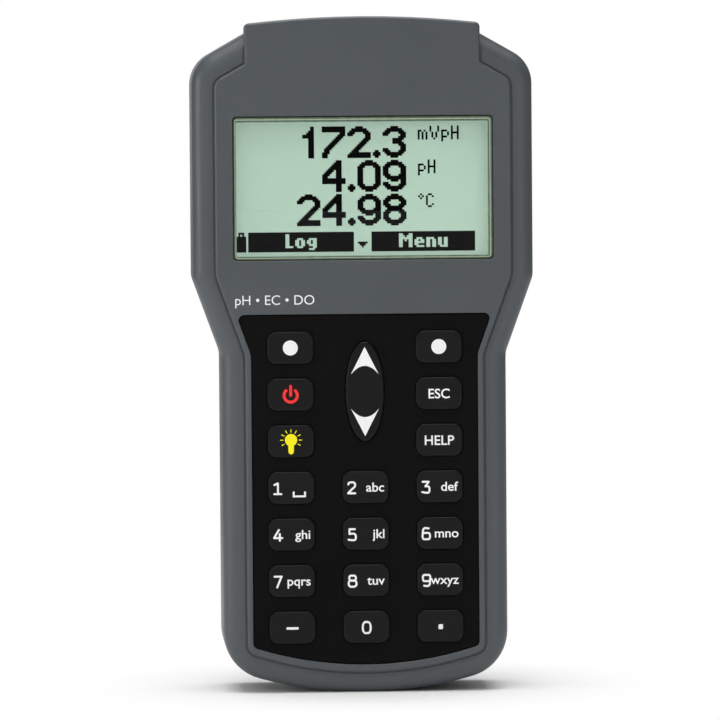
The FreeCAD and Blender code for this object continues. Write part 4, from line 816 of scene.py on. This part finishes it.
@dataclass
class Lettering:
    """Flat printed letters, thin plates that stand a hair proud of the surface they are printed on.

    The weight fattens the letters by a share of their size, and a capital is capital_share of the size high.
    The text is one size thick, half of it on each side of its plane, until it is pressed flat.
    """

    proud: float = 0.015
    sunk: float = 0.02
    weight: float = 0.012
    capital_share: float = 0.729
    curve_steps: int = 6

    def plate(self, text: str, cap_height: float) -> Solid:
        """Shape a text at the origin, its left edge at x = 0 and its baseline at z = 0.

        Args:
            text: the letters.
            cap_height: height of a capital letter.

        Returns:
            The letters as one solid whose front is at y = 0 less proud.
        """
        curve = bpy.data.curves.new("lettering", "FONT")
        curve.body = text
        curve.size = 1.0
        curve.extrude = 0.5
        curve.offset = self.weight
        curve.resolution_u = self.curve_steps
        holder = added("lettering", curve)
        bpy.context.view_layer.update()
        shaped = holder.evaluated_get(bpy.context.evaluated_depsgraph_get())
        mesh = shaped.to_mesh()
        flat = np.empty(len(mesh.vertices) * 3)
        mesh.vertices.foreach_get("co", flat)
        faces = [list(face.vertices) for face in mesh.polygons]
        shaped.to_mesh_clear()
        bpy.data.objects.remove(holder)
        bpy.data.curves.remove(curve)
        flat = flat.reshape(-1, 3)
        scale = cap_height / self.capital_share
        points = np.empty_like(flat)
        points[:, 0] = (flat[:, 0] - flat[:, 0].min()) * scale
        points[:, 1] = self.sunk - (flat[:, 2] + 0.5) * (self.proud + self.sunk)
        points[:, 2] = flat[:, 1] * scale
        return Solid(points, faces).outward()

    def shape(self, outline: np.ndarray) -> Solid:
        """Return a printed shape with the given outline of (x, z) rows."""
        return slab(outline, -self.proud, self.sunk)


def moved(solid: Solid, x: float, y: float, z: float) -> Solid:
    """Return the solid shifted by x, y, z."""
    return Solid(solid.points + np.array([x, y, z]), solid.faces)


def width_of(solid: Solid) -> float:
    """Return how wide a solid is along X."""
    return float(np.ptp(solid.points[:, 0]))


CAP_STEPS = 8
SAME_POINT = 1e-6


def disc(radius: float, steps: int = 40) -> np.ndarray:
    """Return the outline of a disc: radius * (cos a, sin a) over a full turn."""
    turn = np.linspace(0, math.tau, steps, endpoint=False)
    return radius * rays(turn)


def bar(start: Sequence[float], end: Sequence[float], width: float, steps: int = CAP_STEPS) -> np.ndarray:
    """Return the outline of a straight stroke with round ends.

    Each end is half a circle about it: point = end + width / 2 * (cos a, sin a), with a over the half turn
    that faces away from the other end.

    Args:
        start, end: middle of each end.
        width: width of the stroke.
        steps: points on each end.

    Returns:
        Outline of (x, z) rows.
    """
    run = np.subtract(end, start)
    heading = math.atan2(run[1], run[0])
    half = np.linspace(-math.pi / 2, math.pi / 2, steps)
    far = np.array(end) + width / 2 * rays(half + heading)
    near = np.array(start) + width / 2 * rays(half + heading + math.pi)
    return np.concatenate([far, near])


def arc_stroke(radius: float, width: float, first: float, last: float, steps: int = 36) -> np.ndarray:
    """Return the outline of a circular stroke with round ends.

    The outer edge runs at radius + width / 2 from the first angle to the last, the inner one back at
    radius - width / 2, and a half circle closes each end.

    Args:
        radius: radius of the stroke's middle line.
        width: width of the stroke.
        first, last: angles of its ends in degrees.
        steps: points along each edge.

    Returns:
        Outline of (x, z) rows.
    """
    low, high = math.radians(first), math.radians(last)
    ray = rays(np.linspace(low, high, steps))
    cap = np.linspace(0, math.pi, CAP_STEPS)[1:-1]
    far = radius * ray[-1] + width / 2 * rays(high + cap)
    near = radius * ray[0] + width / 2 * rays(low + math.pi + cap)
    return np.concatenate([(radius + width / 2) * ray, far, (radius - width / 2) * ray[::-1], near])


def smoothed(path: Path, rounds: int = 4) -> np.ndarray:
    """Return a path with its corners cut.

    Every round puts points at a quarter and at three quarters of each side, p + (q - p) * (1/4, 3/4), and
    keeps both ends.

    Args:
        path: corners of the path.
        rounds: how often the corners are cut.

    Returns:
        The smooth path, one (x, z) row per point.
    """
    points = np.array(path, dtype=float)
    for _ in range(rounds):
        step = points[1:] - points[:-1]
        cut = np.stack([points[:-1] + step * 0.25, points[:-1] + step * 0.75], axis=1).reshape(-1, 2)
        points = np.concatenate([points[:1], cut[1:-1], points[-1:]])
    keep = np.concatenate([[True], np.hypot(*(points[1:] - points[:-1]).T) > SAME_POINT])
    return points[keep]


def ribbon(path: np.ndarray, width: float) -> np.ndarray:
    """Return the outline of a pen stroke along a path.

    Both edges lie half a width to either side of the path, p +/- width / 2 * n, with n square to the path's
    central difference; each end is closed by a half circle.

    Args:
        path: points of the path.
        width: width of the pen.

    Returns:
        Outline of (x, z) rows.
    """
    run = np.gradient(path, axis=0)
    run /= np.hypot(run[:, 0], run[:, 1])[:, None]
    side = np.stack([run[:, 1], -run[:, 0]], axis=-1) * width / 2
    turn = np.linspace(-math.pi / 2, math.pi / 2, CAP_STEPS)[1:-1, None]
    caps = []
    for end, ahead in ((path[-1], run[-1]), (path[0], -run[0])):
        across = np.array([-ahead[1], ahead[0]])
        caps.append(end + width / 2 * (np.cos(turn) * ahead + np.sin(turn) * across))
    return np.concatenate([path + side, caps[0], (path - side)[::-1], caps[1]])


def mirrored(path: Path, width: float) -> Path:
    """Return a path turned over left to right within a width."""
    return tuple((width - x, z) for x, z in path)


def upended(path: Path, width: float) -> Path:
    """Return a path turned upside down within a width and a height of 1."""
    return tuple((width - x, 1.0 - z) for x, z in path)


# Pen paths of the figures, in a box about 0.6 wide and 1 high whose lower left corner is the origin
OVAL = ((0.35, 0.92), (0.23, 0.96), (0.07, 0.77), (0.07, 0.23), (0.23, 0.04), (0.35, 0.08))
BOWL_UPPER = ((0.33, 0.92), (0.21, 0.95), (0.1, 0.84), (0.1, 0.64), (0.2, 0.53), (0.33, 0.54))
BOWL_LOWER = ((0.33, 0.54), (0.19, 0.57), (0.06, 0.44), (0.06, 0.19), (0.2, 0.04), (0.33, 0.08))
SIX = (
    ((0.48, 0.92), (0.1, 0.98), (0.07, 0.3)),
    ((0.32, 0.56), (0.07, 0.58), (0.07, 0.06), (0.32, 0.08)),
    ((0.3, 0.56), (0.56, 0.58), (0.56, 0.06), (0.3, 0.08)),
)
FIGURE_PATHS: dict[str, tuple[Path, ...]] = {
    "0": (OVAL, mirrored(OVAL, 0.66)),
    "1": (((0.11, 0.79), (0.34, 0.92)), ((0.34, 0.9), (0.34, 0.08)), ((0.1, 0.08), (0.56, 0.08))),
    "2": (
        ((0.09, 0.78), (0.12, 0.93), (0.5, 0.96), (0.56, 0.62), (0.32, 0.4), (0.08, 0.1)),
        ((0.08, 0.08), (0.54, 0.08)),
    ),
    "3": (
        ((0.1, 0.92), (0.5, 0.92)),
        ((0.5, 0.91), (0.28, 0.57)),
        ((0.28, 0.56), (0.55, 0.58), (0.55, 0.05), (0.24, 0.07), (0.07, 0.12)),
    ),
    "4": (((0.38, 0.92), (0.06, 0.3)), ((0.06, 0.29), (0.6, 0.29)), ((0.44, 0.6), (0.44, 0.08))),
    "5": (
        ((0.14, 0.92), (0.5, 0.92)),
        ((0.14, 0.92), (0.14, 0.56)),
        ((0.14, 0.55), (0.55, 0.6), (0.57, 0.05), (0.24, 0.07), (0.08, 0.1)),
    ),
    "6": SIX,
    "7": (((0.07, 0.92), (0.54, 0.92)), ((0.53, 0.91), (0.24, 0.08))),
    "8": (BOWL_UPPER, mirrored(BOWL_UPPER, 0.64), BOWL_LOWER, mirrored(BOWL_LOWER, 0.64)),
    "9": tuple(upended(path, 0.63) for path in SIX),
}


@dataclass
class KeyLegends:
    """The printed legends on the keys and the rocker.

    Places are counted from the middle of a key. Each stroke of a figure lies one layer further out than the
    one before, so that strokes that overlap share no plane.
    """

    printer: Lettering = field(default_factory=Lettering)
    digit_height: float = 3.5
    digit_weight: float = 0.155
    digit_spread: float = 1.18
    letter_height: float = 2.55
    word_height: float = 2.7
    digit_left: float = -5.1
    zero_half: float = 1.36
    layer: float = 0.004
    drop: float = 0.15
    letters_right: float = 5.05
    letters_drop: float = 1.17
    letters_spread: float = 1.06
    dot_radius: float = 2.05
    ring_radius: float = 1.82
    ring_width: float = 0.8
    ring_gap: float = 43.0
    ring_lift: float = -0.2
    stem_top: float = 2.5
    bulb_radius: float = 1.68
    bulb_lift: float = 0.36
    neck_width: float = 1.5
    neck_end: float = -2.8
    ray_reach: tuple[float, float] = (2.2, 2.9)
    ray_width: float = 0.24
    ray_count: int = 9
    ray_span: float = 120.0
    ray_steps: int = 4
    space_left: float = 0.35
    space_width: float = 3.6
    space_height: float = 1.55
    space_stroke: float = 0.52
    space_low: float = -2.55
    minus_width: float = 3.3
    minus_height: float = 0.66
    minus_corner: float = 0.1
    point_width: float = 1.26
    point_height: float = 1.36
    point_corner: float = 0.25
    arrow_half: float = 3.82
    arrow_length: float = 7.5
    arrow_notch: float = 2.3
    arrow_tip: float = 12.2
    arrow_steps: int = 21
    letters: str = "2abc 3def 4ghi 5jkl 6mno 7pqrs 8tuv 9wxyz"

    def word(self, text: str, height: float) -> Solid:
        """Return a word centred on the key."""
        plate = self.printer.plate(text, height)
        return moved(plate, -width_of(plate) / 2, 0, -height / 2)

    def digit(self, text: str) -> Solid:
        """Draw a digit at the left of a key with a pen of even width.

        Args:
            text: the digit.

        Returns:
            The digit's strokes.
        """
        height = self.digit_height
        strokes = []
        for step, path in enumerate(FIGURE_PATHS[text]):
            line = smoothed(path) * (height * self.digit_spread, height)
            stroke = self.printer.shape(ribbon(line, self.digit_weight * height))
            strokes.append(moved(stroke, 0, -self.layer * step, 0))
        return moved(gathered(strokes), self.digit_left, 0, -height / 2 - self.drop)

    def numbered(self, digit: str, letters: str) -> Solid:
        """Draw a digit with its small letters to the right of it.

        Args:
            digit: the digit.
            letters: the letters that the key also writes.

        Returns:
            The whole legend.
        """
        small = self.printer.plate(letters, self.letter_height)
        small = Solid(small.points * np.array([self.letters_spread, 1.0, 1.0]), small.faces)
        small = moved(small, self.letters_right - width_of(small), 0, -self.letters_drop)
        return gathered([self.digit(digit), small])

    def space_mark(self) -> Solid:
        """Draw the digit 1 and the open bracket that stands for a space.

        Returns:
            The whole legend.
        """
        left, low, inner = self.space_left, self.space_low, self.space_stroke
        right, high = left + self.space_width, low + self.space_height
        outline = np.array([
            (left, low), (right, low), (right, high), (right - inner, high), (right - inner, low + inner),
            (left + inner, low + inner), (left + inner, high), (left, high),
        ])
        return gathered([self.digit("1"), self.printer.shape(outline)])

    def power(self) -> Solid:
        """Draw the power mark: an open ring and a bar through the gap.

        Returns:
            The mark.
        """
        ring = arc_stroke(self.ring_radius, self.ring_width, 90 + self.ring_gap, 450 - self.ring_gap)
        stem = bar((0.0, 0.0), (0.0, self.stem_top), self.ring_width)
        return gathered([self.printer.shape(outline + (0, self.ring_lift)) for outline in (ring, stem)])

    def lamp(self) -> Solid:
        """Draw the lamp mark: a bulb, its neck and rays round its upper side.

        Returns:
            The mark.
        """
        centre = np.array([0.0, self.bulb_lift])
        parts = [self.printer.shape(disc(self.bulb_radius) + centre)]
        neck = self.printer.shape(bar((0.0, 0.0), (0.0, self.neck_end), self.neck_width))
        parts.append(moved(neck, 0, -self.layer, 0))
        for turn in np.radians(90 + np.linspace(-self.ray_span, self.ray_span, self.ray_count)):
            ray = np.array([math.cos(turn), math.sin(turn)])
            inner, outer = (centre + ray * reach for reach in self.ray_reach)
            parts.append(self.printer.shape(bar(inner, outer, self.ray_width, self.ray_steps)))
        return gathered(parts)

    def arrow(self, up: bool) -> Solid:
        """Return an arrowhead with a hollow base.

        The base is an arc: z = tail + notch * (1 - (x / half) ** 2), so it is deepest in the middle.

        Args:
            up: whether it points up from the rocker's middle.

        Returns:
            The arrowhead, with its tip the given way.
        """
        across = np.linspace(self.arrow_half, -self.arrow_half, self.arrow_steps)
        tail = self.arrow_tip - self.arrow_length
        base = np.stack([across, tail + self.arrow_notch * (1 - (across / self.arrow_half) ** 2)], axis=-1)
        outline = np.concatenate([base, [[0.0, self.arrow_tip]]])
        return self.printer.shape(outline if up else -outline)

    def build(self) -> None:
        """Print each key and the rocker, each legend on the body that carries it."""
        plans: dict[str, tuple[Solid, Finish]] = {
            "key_soft_left": (self.printer.shape(disc(self.dot_radius)), INK_WHITE),
            "key_soft_right": (self.printer.shape(disc(self.dot_radius)), INK_WHITE),
            "key_power": (self.power(), INK_RED),
            "key_escape": (self.word("ESC", self.word_height), INK_WHITE),
            "key_lamp": (self.lamp(), INK_YELLOW),
            "key_help": (self.word("HELP", self.word_height), INK_WHITE),
            "key_1": (self.space_mark(), INK_WHITE),
            "key_0": (moved(self.digit("0"), -self.digit_left - self.zero_half, 0, 0), INK_WHITE),
        }
        for label in self.letters.split():
            plans["key_" + label[0]] = (self.numbered(label[0], label[1:]), INK_WHITE)
        minus = rounded_rectangle(self.minus_width / 2, self.minus_height / 2, self.minus_corner, steps=3)
        point = rounded_rectangle(self.point_width / 2, self.point_height / 2, self.point_corner, steps=4)
        plans["key_minus"] = (self.printer.shape(minus - (0, self.drop)), INK_WHITE)
        plans["key_point"] = (self.printer.shape(point - (0, self.drop)), INK_WHITE)
        plans["arrow_rocker"] = (gathered([self.arrow(True), self.arrow(False)]), INK_WHITE)
        for body, (solid, finish) in plans.items():
            low, high = node_box(body)
            middle = (low + high) / 2
            make_piece("legend_" + body, moved(solid, middle[0], low[1], middle[2]), finish, body)


@dataclass
class Keypad:
    """The black panel, its keys and its rocker."""

    legends: KeyLegends

    def build(self) -> None:
        """Dress the panel, the keys and the rocker, and print them."""
        dress_nodes(KEYPAD_BLACK, "keypad_panel")
        names = (name for name in sorted(bpy.data.objects.keys()) if name.startswith("key_"))
        dress_nodes(KEY_BLACK, *(name for name in names if name != "key_mat"), "arrow_rocker")
        self.legends.build()


# Rows of dots of each figure or letter from the top down, X for a dark dot: first the large figures
SLANT = (
    ".........XXX ........XXXX .......XXXX. ......XXXX.. .....XXXX... ....XXXX.... ...XXXX..... ..XXXX...... "
)
BOWL_TOP = "....XXXX.... ..XXXXXXXX.. .XXXXXXXXXX. XXXX....XXXX "
BOWL_LOW = "XXXX....XXXX .XXXXXXXXXX. ..XXXXXXXX.. ....XXXX...."
OPEN_SIDES = "XXX......XXX "
STEM = ".......XXX.. "
FULL = "XXXXXXXXXXXX "
BIG_ROWS: dict[str, str] = {
    "0": BOWL_TOP + OPEN_SIDES * 8 + BOWL_LOW,
    "1": "....XX... " * 2 + "...XXX... ..XXXX... " + "XXXXXX... " * 2 + "...XXX... " * 10,
    "2": BOWL_TOP + OPEN_SIDES + SLANT + ".XXXXXXXXXXX " + FULL * 2,
    "3": BOWL_TOP + OPEN_SIDES
    + "........XXXX .....XXXXXX. .....XXXXX.. .....XXXXXX. ........XXXX .........XXX "
    + OPEN_SIDES + BOWL_LOW,
    "4": STEM + "......XXXX.. .....XXXXX.. ....XXXXXX.. ...XXXXXXX.. ..XXXX.XXX.. .XXXX..XXX.. XXXX...XXX.. "
    + "XXX....XXX.. " + FULL * 3 + STEM * 4,
    "7": FULL * 3 + SLANT + ".XXXX....... .XXX........ XXXX........ " + "XXX......... " * 2,
    "8": BOWL_TOP + OPEN_SIDES
    + "XXXX....XXXX .XXXXXXXXXX. ..XXXXXXXX.. .XXXXXXXXXX. XXXX....XXXX "
    + OPEN_SIDES * 2 + BOWL_LOW,
    "9": BOWL_TOP + OPEN_SIDES * 3
    + "XXXX....XXXX .XXXXXXXXXXX ..XXXXXXXXXX ....XXXX.XXX "
    + OPEN_SIDES + BOWL_LOW,
    ".": ".... " * 12 + ".XX. XXXX XXXX .XX.",
}

# Letters of the units
SMALL_ROWS: dict[str, str] = {
    "m": "..... ..... XX.X. X.X.X X.X.X X.X.X X.X.X",
    "V": "X...X X...X X...X .X.X. .X.X. .X.X. ..X..",
    "p": ".... .... XXX. X..X X..X XXX. X... X...",
    "H": "X..X X..X X..X XXXX X..X X..X X..X",
    "o": ".X. X.X .X.",
    "C": ".XX. X..X X... X... X... X..X .XX.",
}

# Letters of the soft keys' labels
HEAVY_ROWS: dict[str, str] = {
    "L": "XX.. XX.. XX.. XX.. XX.. XX.. XXXX",
    "o": "..... ..... .XXX. XX.XX XX.XX XX.XX .XXX.",
    "g": "..... ..... .XXXX XX.XX XX.XX .XXXX ...XX .XXX.",
    "M": "XX...XX XXX.XXX XXXXXXX XX.X.XX XX...XX XX...XX XX...XX",
    "e": "..... ..... .XXX. XX.XX XXXXX XX... .XXXX",
    "n": "..... ..... XXXX. XX.XX XX.XX XX.XX XX.XX",
    "u": "..... ..... XX.XX XX.XX XX.XX XX.XX .XXXX",
}

# Signs of the bottom row
SIGN_ROWS: dict[str, str] = {
    "battery": ".XXX. .X.X. " + "XXXXX " * 8,
    "arrow down": "XXXXX .XXX. ..X..",
}


@dataclass
class DotPicture:
    """The picture of the dot display: readings, units, the labels of the two soft keys and two small signs.

    Rows and columns are counted from the top left dot. A reading has its first row, its figures and its unit.
    A label has its text, the first column and the width of its dark field, and how far the text is set in. A
    sign has its name and its first row and column.
    """

    columns: int = 122
    rows: int = 64
    pitch_x: float = 0.5354
    pitch_z: float = 0.5435
    left: float = -34.65
    top: float = 155.0
    readings_end: int = 87
    unit_gap: int = 6
    readings: tuple[tuple[int, str, str], ...] = (
        (0, "172.3", "mVpH"), (17, "4.09", "pH"), (34, "24.98", "oC"),
    )
    label_row: int = 53
    label_height: int = 10
    labels: tuple[tuple[str, int, int, int], ...] = (("Log", 6, 54, 19), ("Menu", 69, 53, 14))
    signs: tuple[tuple[str, int, int], ...] = (("battery", 53, 0), ("arrow down", 58, 62))
    proud: float = 0.03
    sunk: float = 0.01

    def __post_init__(self) -> None:
        """Start with every dot clear."""
        self.dots = np.zeros((self.rows, self.columns), dtype=bool)

    def stamp(self, shape: np.ndarray, row: int, column: int, clear: bool = False) -> None:
        """Darken or clear the dots of a small shape.

        Args:
            shape: mask of the shape.
            row, column: where its top left dot goes.
            clear: whether the dots are cleared and not darkened.
        """
        patch = self.dots[row:row + shape.shape[0], column:column + shape.shape[1]]
        patch[shape[:patch.shape[0], :patch.shape[1]]] = not clear

    def line(
        self, text: Sequence[str], font: dict[str, str], row: int, column: int, clear: bool = False
    ) -> None:
        """Write figures, letters or signs from left to right with one clear column between them.

        Args:
            text: what is written, one key of the font after the other.
            font: the rows of dots of each key, X for a dark dot.
            row, column: where the top left dot of the first goes.
            clear: whether it is written clear on a dark field.
        """
        for glyph in text:
            shape = np.array([[dot == "X" for dot in dots] for dots in font[glyph].split()])
            self.stamp(shape, row, column, clear)
            column += shape.shape[1] + 1

    def reading(self, text: str, row: int) -> None:
        """Write a reading so that it ends where all readings end."""
        width = sum(len(BIG_ROWS[glyph].split()[0]) + 1 for glyph in text) - 1
        self.line(text, BIG_ROWS, row, self.readings_end - width)

    def compose(self) -> None:
        """Lay out the three readings, their units and the bottom row."""
        for row, figures, unit in self.readings:
            self.reading(figures, row)
            self.line(unit, SMALL_ROWS, row, self.readings_end + self.unit_gap)
        for text, column, width, inset in self.labels:
            self.stamp(np.ones((self.label_height, width), dtype=bool), self.label_row, column)
            self.line(text, HEAVY_ROWS, self.label_row + 1, column + inset, True)
        for name, row, column in self.signs:
            self.line([name], SIGN_ROWS, row, column)

    def solid(self, face_y: float) -> Solid:
        """Return the dark dots as thin plates on the glass.

        The lattice has a point at every dot corner, in front and behind. A dark dot gives a front and a back
        square, and a side stands wherever a dark dot meets a clear one.

        Args:
            face_y: depth of the surface that carries the dots.

        Returns:
            The plates, faces outwards.
        """
        dots = self.dots
        wide = self.columns + 1
        corner = np.arange((self.rows + 1) * wide).reshape(self.rows + 1, wide)
        back = corner.size
        nw, ne, sw, se = corner[:-1, :-1], corner[:-1, 1:], corner[1:, :-1], corner[1:, 1:]
        front = np.stack([nw, sw, se, ne], axis=-1)[dots]
        rear = np.stack([nw, ne, se, sw], axis=-1)[dots] + back
        framed = np.pad(dots, 1)
        sides = []
        for near, first, last in (
            (framed[:-2, 1:-1], nw, ne), (framed[2:, 1:-1], se, sw),
            (framed[1:-1, :-2], sw, nw), (framed[1:-1, 2:], ne, se),
        ):
            sides.append(np.stack([first, last, last + back, first + back], axis=-1)[dots & ~near])
        faces = np.concatenate([front, rear, *sides])
        row, column = np.divmod(np.arange(corner.size), wide)
        x = self.left + column * self.pitch_x
        z = self.top - row * self.pitch_z
        depths = (face_y - self.proud, face_y + self.sunk)
        layers = [np.stack([x, np.full_like(x, y), z], axis=-1) for y in depths]
        used, renumbered = np.unique(faces, return_inverse=True)
        points = np.concatenate(layers)[used]
        return Solid(points, renumbered.reshape(-1, 4).tolist()).outward()


@dataclass
class Display:
    """The window with a band round its rim that draws the display's edge and the painted shade of the rim,
    the glass and its picture.
    """

    band_left: float = 0.62
    band_right: float = 1.35
    band_low: float = 0.98
    band_high: float = 1.48
    corner: float = 1.05
    least_corner: float = 0.35
    corner_steps: int = 9
    proud: float = 0.012
    steps: int = 13
    crease: float = 20.0

    def rim_band_and_shade(self) -> tuple[Solid, np.ndarray]:
        """Shape the thin band along the window's rim, whose colours include painted shade of the rim on the
        display.

        For a share s from 0 to 1, a rounded rectangle has its sides s * (left, right, low, high) inwards of
        the pane's edge, so that half its width is the pane's less s * (left + right) / 2 and its middle moves
        by s * (left - right) / 2, and the same upright. The rectangles run inwards in front, outwards behind.

        Returns:
            The closed band, and the share of each of its points.
        """
        low, high = node_box("display_window")
        middle, half = (low + high) / 2, (high - low) / 2
        shares = np.linspace(0, 1, self.steps)
        rows = [(share, -self.proud) for share in shares] + [(share, self.proud) for share in shares[::-1]]
        rings = np.empty((len(rows), 4 * self.corner_steps, 3))
        for ring, (share, depth) in zip(rings, rows):
            outline = rounded_rectangle(
                half[0] - share * (self.band_left + self.band_right) / 2,
                half[2] - share * (self.band_low + self.band_high) / 2,
                max(self.corner - share * self.band_low, self.least_corner),
                self.corner_steps,
            )
            ring[:, 0] = outline[:, 0] + middle[0] + share * (self.band_left - self.band_right) / 2
            ring[:, 1] = low[1] + depth
            ring[:, 2] = outline[:, 1] + middle[2] + share * (self.band_low - self.band_high) / 2
        return closed_band(rings), np.repeat([share for share, _ in rows], rings.shape[1])

    def build(self) -> None:
        """Dress the window and the glass, and set the rim band with its painted shade and the picture in
        place.
        """
        dress_nodes(WINDOW_CLEAR, "display_window")
        dress_nodes(RUBBER_BLACK, "window_gasket")
        dress_nodes(DISPLAY_GREEN, "lcd_glass")
        # the band paints the shade of the window's rim on the display
        solid, shares = self.rim_band_and_shade()
        mesh = make_piece("window_edge_print", solid, RIM_BAND_AND_SHADE, "meter", self.crease).data
        band = mesh.attributes.new("band", "FLOAT", "POINT")
        band.data.foreach_set("value", shares.astype(np.float32))
        picture = DotPicture()
        picture.compose()
        glass_low, _ = node_box("lcd_glass")
        make_piece("display_picture", picture.solid(glass_low[1]), DOT_DARK, "meter", self.crease)


@dataclass
class Casing:
    """The two shells, the battery cover, their screws and the panel's printed line."""

    line_text: str = "pH • EC • DO"
    line_height: float = 2.75
    line_left: float = -35.2
    line_base: float = 106.5
    line_weight: float = -0.004

    def build(self) -> None:
        """Dress the shells and screws and print the line of quantities on the panel."""
        dress_nodes(CASING_GREY, "front_casing", "rear_casing", "battery_cover")
        dress_nodes(STEEL, "casing_screws", "battery_cover_screws")
        low, _ = node_box("front_casing")
        plate = Lettering(weight=self.line_weight).plate(self.line_text, self.line_height)
        make_piece("panel_line", moved(plate, self.line_left, low[1], self.line_base), INK_WHITE, "meter")


@dataclass
class Sockets:
    """The connector panel behind the hood with its probe socket and USB socket."""

    def build(self) -> None:
        """Dress the panel, the sockets and the cap."""
        dress_nodes(
            PLASTIC_BLACK, "connector_panel", "probe_socket_shell", "probe_socket_insert", "usb_socket_tongue"
        )
        dress_nodes(GOLD, "probe_socket_pins")
        dress_nodes(BRASS, "probe_socket_nut")
        dress_nodes(STEEL, "usb_socket_shell")
        dress_nodes(RUBBER_BLACK, "usb_cap", "usb_cap_anchor", "connector_seal", "probe_socket_seal")


@dataclass
class Inside:
    """What the closed casing hides, and what shows with the battery cover off."""

    def build(self) -> None:
        """Dress the boards, the mat, the gaskets, the contacts and the cells."""
        dress_nodes(RUBBER_BLACK, "casing_gasket", "battery_cover_gasket")
        dress_nodes(STEEL, "lcd_frame", "snap_domes", "battery_contacts", "battery_springs")
        dress_nodes(BRASS, "battery_cover_inserts")
        dress_nodes(LIGHT_GUIDE, "lcd_backlight")
        dress_nodes(SILICONE_GREY, "lcd_contact_strips", "key_mat")
        dress_nodes(BOARD_GREEN, "lcd_board", "main_board", "socket_board")
        dress_nodes(PLASTIC_BLACK, "board_components", "buzzer")
        dress_nodes(CELL_SLEEVE, "battery_cells")


@dataclass(frozen=True)
class Softbox:
    """A soft square lamp: where it hangs and its side, in millimetres, and its power in watts."""

    name: str
    place: tuple[float, float, float]
    side: float
    watts: float

    def hang(self, target: Vector) -> None:
        """Add the lamp to the scene.

        Args:
            target: the point that it is turned towards, in millimetres.
        """
        data = bpy.data.lights.new(self.name, "AREA")
        data.shape = "SQUARE"
        data.size = self.side * MM
        data.energy = self.watts
        lamp = added(self.name, data)
        lamp.location = Vector(self.place) * MM
        lamp.rotation_euler = (target - Vector(self.place)).to_track_quat("-Z", "Y").to_euler()


@dataclass
class Studio:
    """Pale floor, soft lamps and the camera at the photograph's angle.

    Angles are in degrees, and sight holds the camera's nearest and furthest reach in metres. The room lights
    the object with the ambient level; front_dim is what gloss loses of it before the object, and behind gives
    the world's Y where the white backdrop starts and where it is full.
    """

    lens: float = 320.0
    sensor: float = 36.0
    field_width: float = 196.7
    azimuth: float = -2.8
    elevation: float = 2.6
    roll: float = 0.44
    aim: tuple[float, float, float] = (-1.25, -17.0, 91.2)
    sight: tuple[float, float] = (0.01, 60.0)
    ambient: float = 0.14
    front_dim: float = 0.1
    behind: tuple[float, float] = (0.8, 1.0)
    floor_reach: float = 6000.0
    lit_point: tuple[float, float, float] = (0.0, 0.0, 95.0)
    lamps: tuple[Softbox, ...] = (
        Softbox("front softbox", (-400.0, -880.0, 520.0), 800.0, 1.75),
        Softbox("top softbox", (0.0, -40.0, 1100.0), 1000.0, 12.0),
        Softbox("crown lamp", (-40.0, -480.0, 1050.0), 240.0, 1.3),
        Softbox("left softbox", (-980.0, -260.0, 260.0), 420.0, 2.4),
        Softbox("low fill", (620.0, -900.0, 40.0), 700.0, 1.7),
    )

    def floor(self) -> None:
        """Lay a wide pale floor that is part of the stage.

        The floor is a grid of two rows: z = 0 everywhere, x and y from one edge to the other.
        """
        edges = [-self.floor_reach, self.floor_reach]
        x, y = np.meshgrid(edges, edges)
        points = np.stack([x.ravel(), y.ravel(), np.zeros(4)], axis=-1)
        mesh = bpy.data.meshes.new("floor")
        mesh.from_pydata((points * MM).tolist(), [], [[0, 1, 3, 2]])
        plane = added("floor", mesh)
        FLOOR_WHITE.dress(plane)

    def world(self) -> None:
        """Show white to the eye and behind the object, and light the object by a dim room.

        Gloss and clear plastic see the white backdrop where the world's Y is near 1, which is behind the
        object, and a darker room before it, so that the window's own reflection is faint.
        """
        world = bpy.data.worlds.new("studio")
        world.use_nodes = True
        bpy.context.scene.world = world
        sheet = Sheet(world.node_tree)
        seen = sheet.add("LightPath", {}).outputs
        split = sheet.add("SeparateXYZ", {0: sheet.add("TexCoord", {}).outputs["Generated"]})
        behind = sheet.share(split.outputs["Y"], *self.behind, "SMOOTHSTEP")
        bent = sheet.math("MAXIMUM", seen["Is Glossy Ray"], seen["Is Transmission Ray"])
        bent_behind = sheet.math("MULTIPLY", bent, behind)
        level = sheet.spread(sheet.math("MAXIMUM", seen["Is Camera Ray"], bent_behind), self.ambient, 1.0)
        dimmed = sheet.math("MULTIPLY", sheet.math("SUBTRACT", bent, bent_behind), self.front_dim)
        sheet.fill(sheet.tree.nodes["Background"], {
            "Color": (1.0, 1.0, 1.0, 1.0),
            "Strength": sheet.math("SUBTRACT", level, dimmed),
        })

    def camera(self) -> None:
        """Set the camera where the photograph's was: a long lens, a little above and left of the middle."""
        turn, rise = math.radians(self.azimuth), math.radians(self.elevation)
        back = Vector((math.sin(turn) * math.cos(rise), -math.cos(turn) * math.cos(rise), math.sin(rise)))
        data = bpy.data.cameras.new("camera")
        data.lens = self.lens
        data.sensor_width = self.sensor
        data.clip_start, data.clip_end = self.sight
        camera = added("camera", data)
        camera.location = (Vector(self.aim) + back * self.field_width * self.lens / self.sensor) * MM
        tilt = Matrix.Rotation(math.radians(-self.roll), 3, "Z").to_quaternion()
        camera.rotation_mode = "QUATERNION"
        camera.rotation_quaternion = (-back).to_track_quat("-Z", "Y") @ tilt
        bpy.context.scene.camera = camera

    def build(self) -> None:
        """Set the stage."""
        self.floor()
        self.world()
        for lamp in self.lamps:
            lamp.hang(Vector(self.lit_point))
        self.camera()
        bpy.context.scene.view_settings.view_transform = "Standard"


def main() -> None:
    """Build the looks round the frame in order."""
    logging.basicConfig(level=logging.INFO, format="%(name)s: %(message)s")
    for item in list(bpy.data.objects):
        bpy.data.objects.remove(item)
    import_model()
    for part in (Casing(), Display(), Keypad(KeyLegends()), Sockets(), Inside()):
        LOG.info("building %s", type(part).__name__)
        part.build()
    Studio().build()


if __name__ == "__main__":
    main()
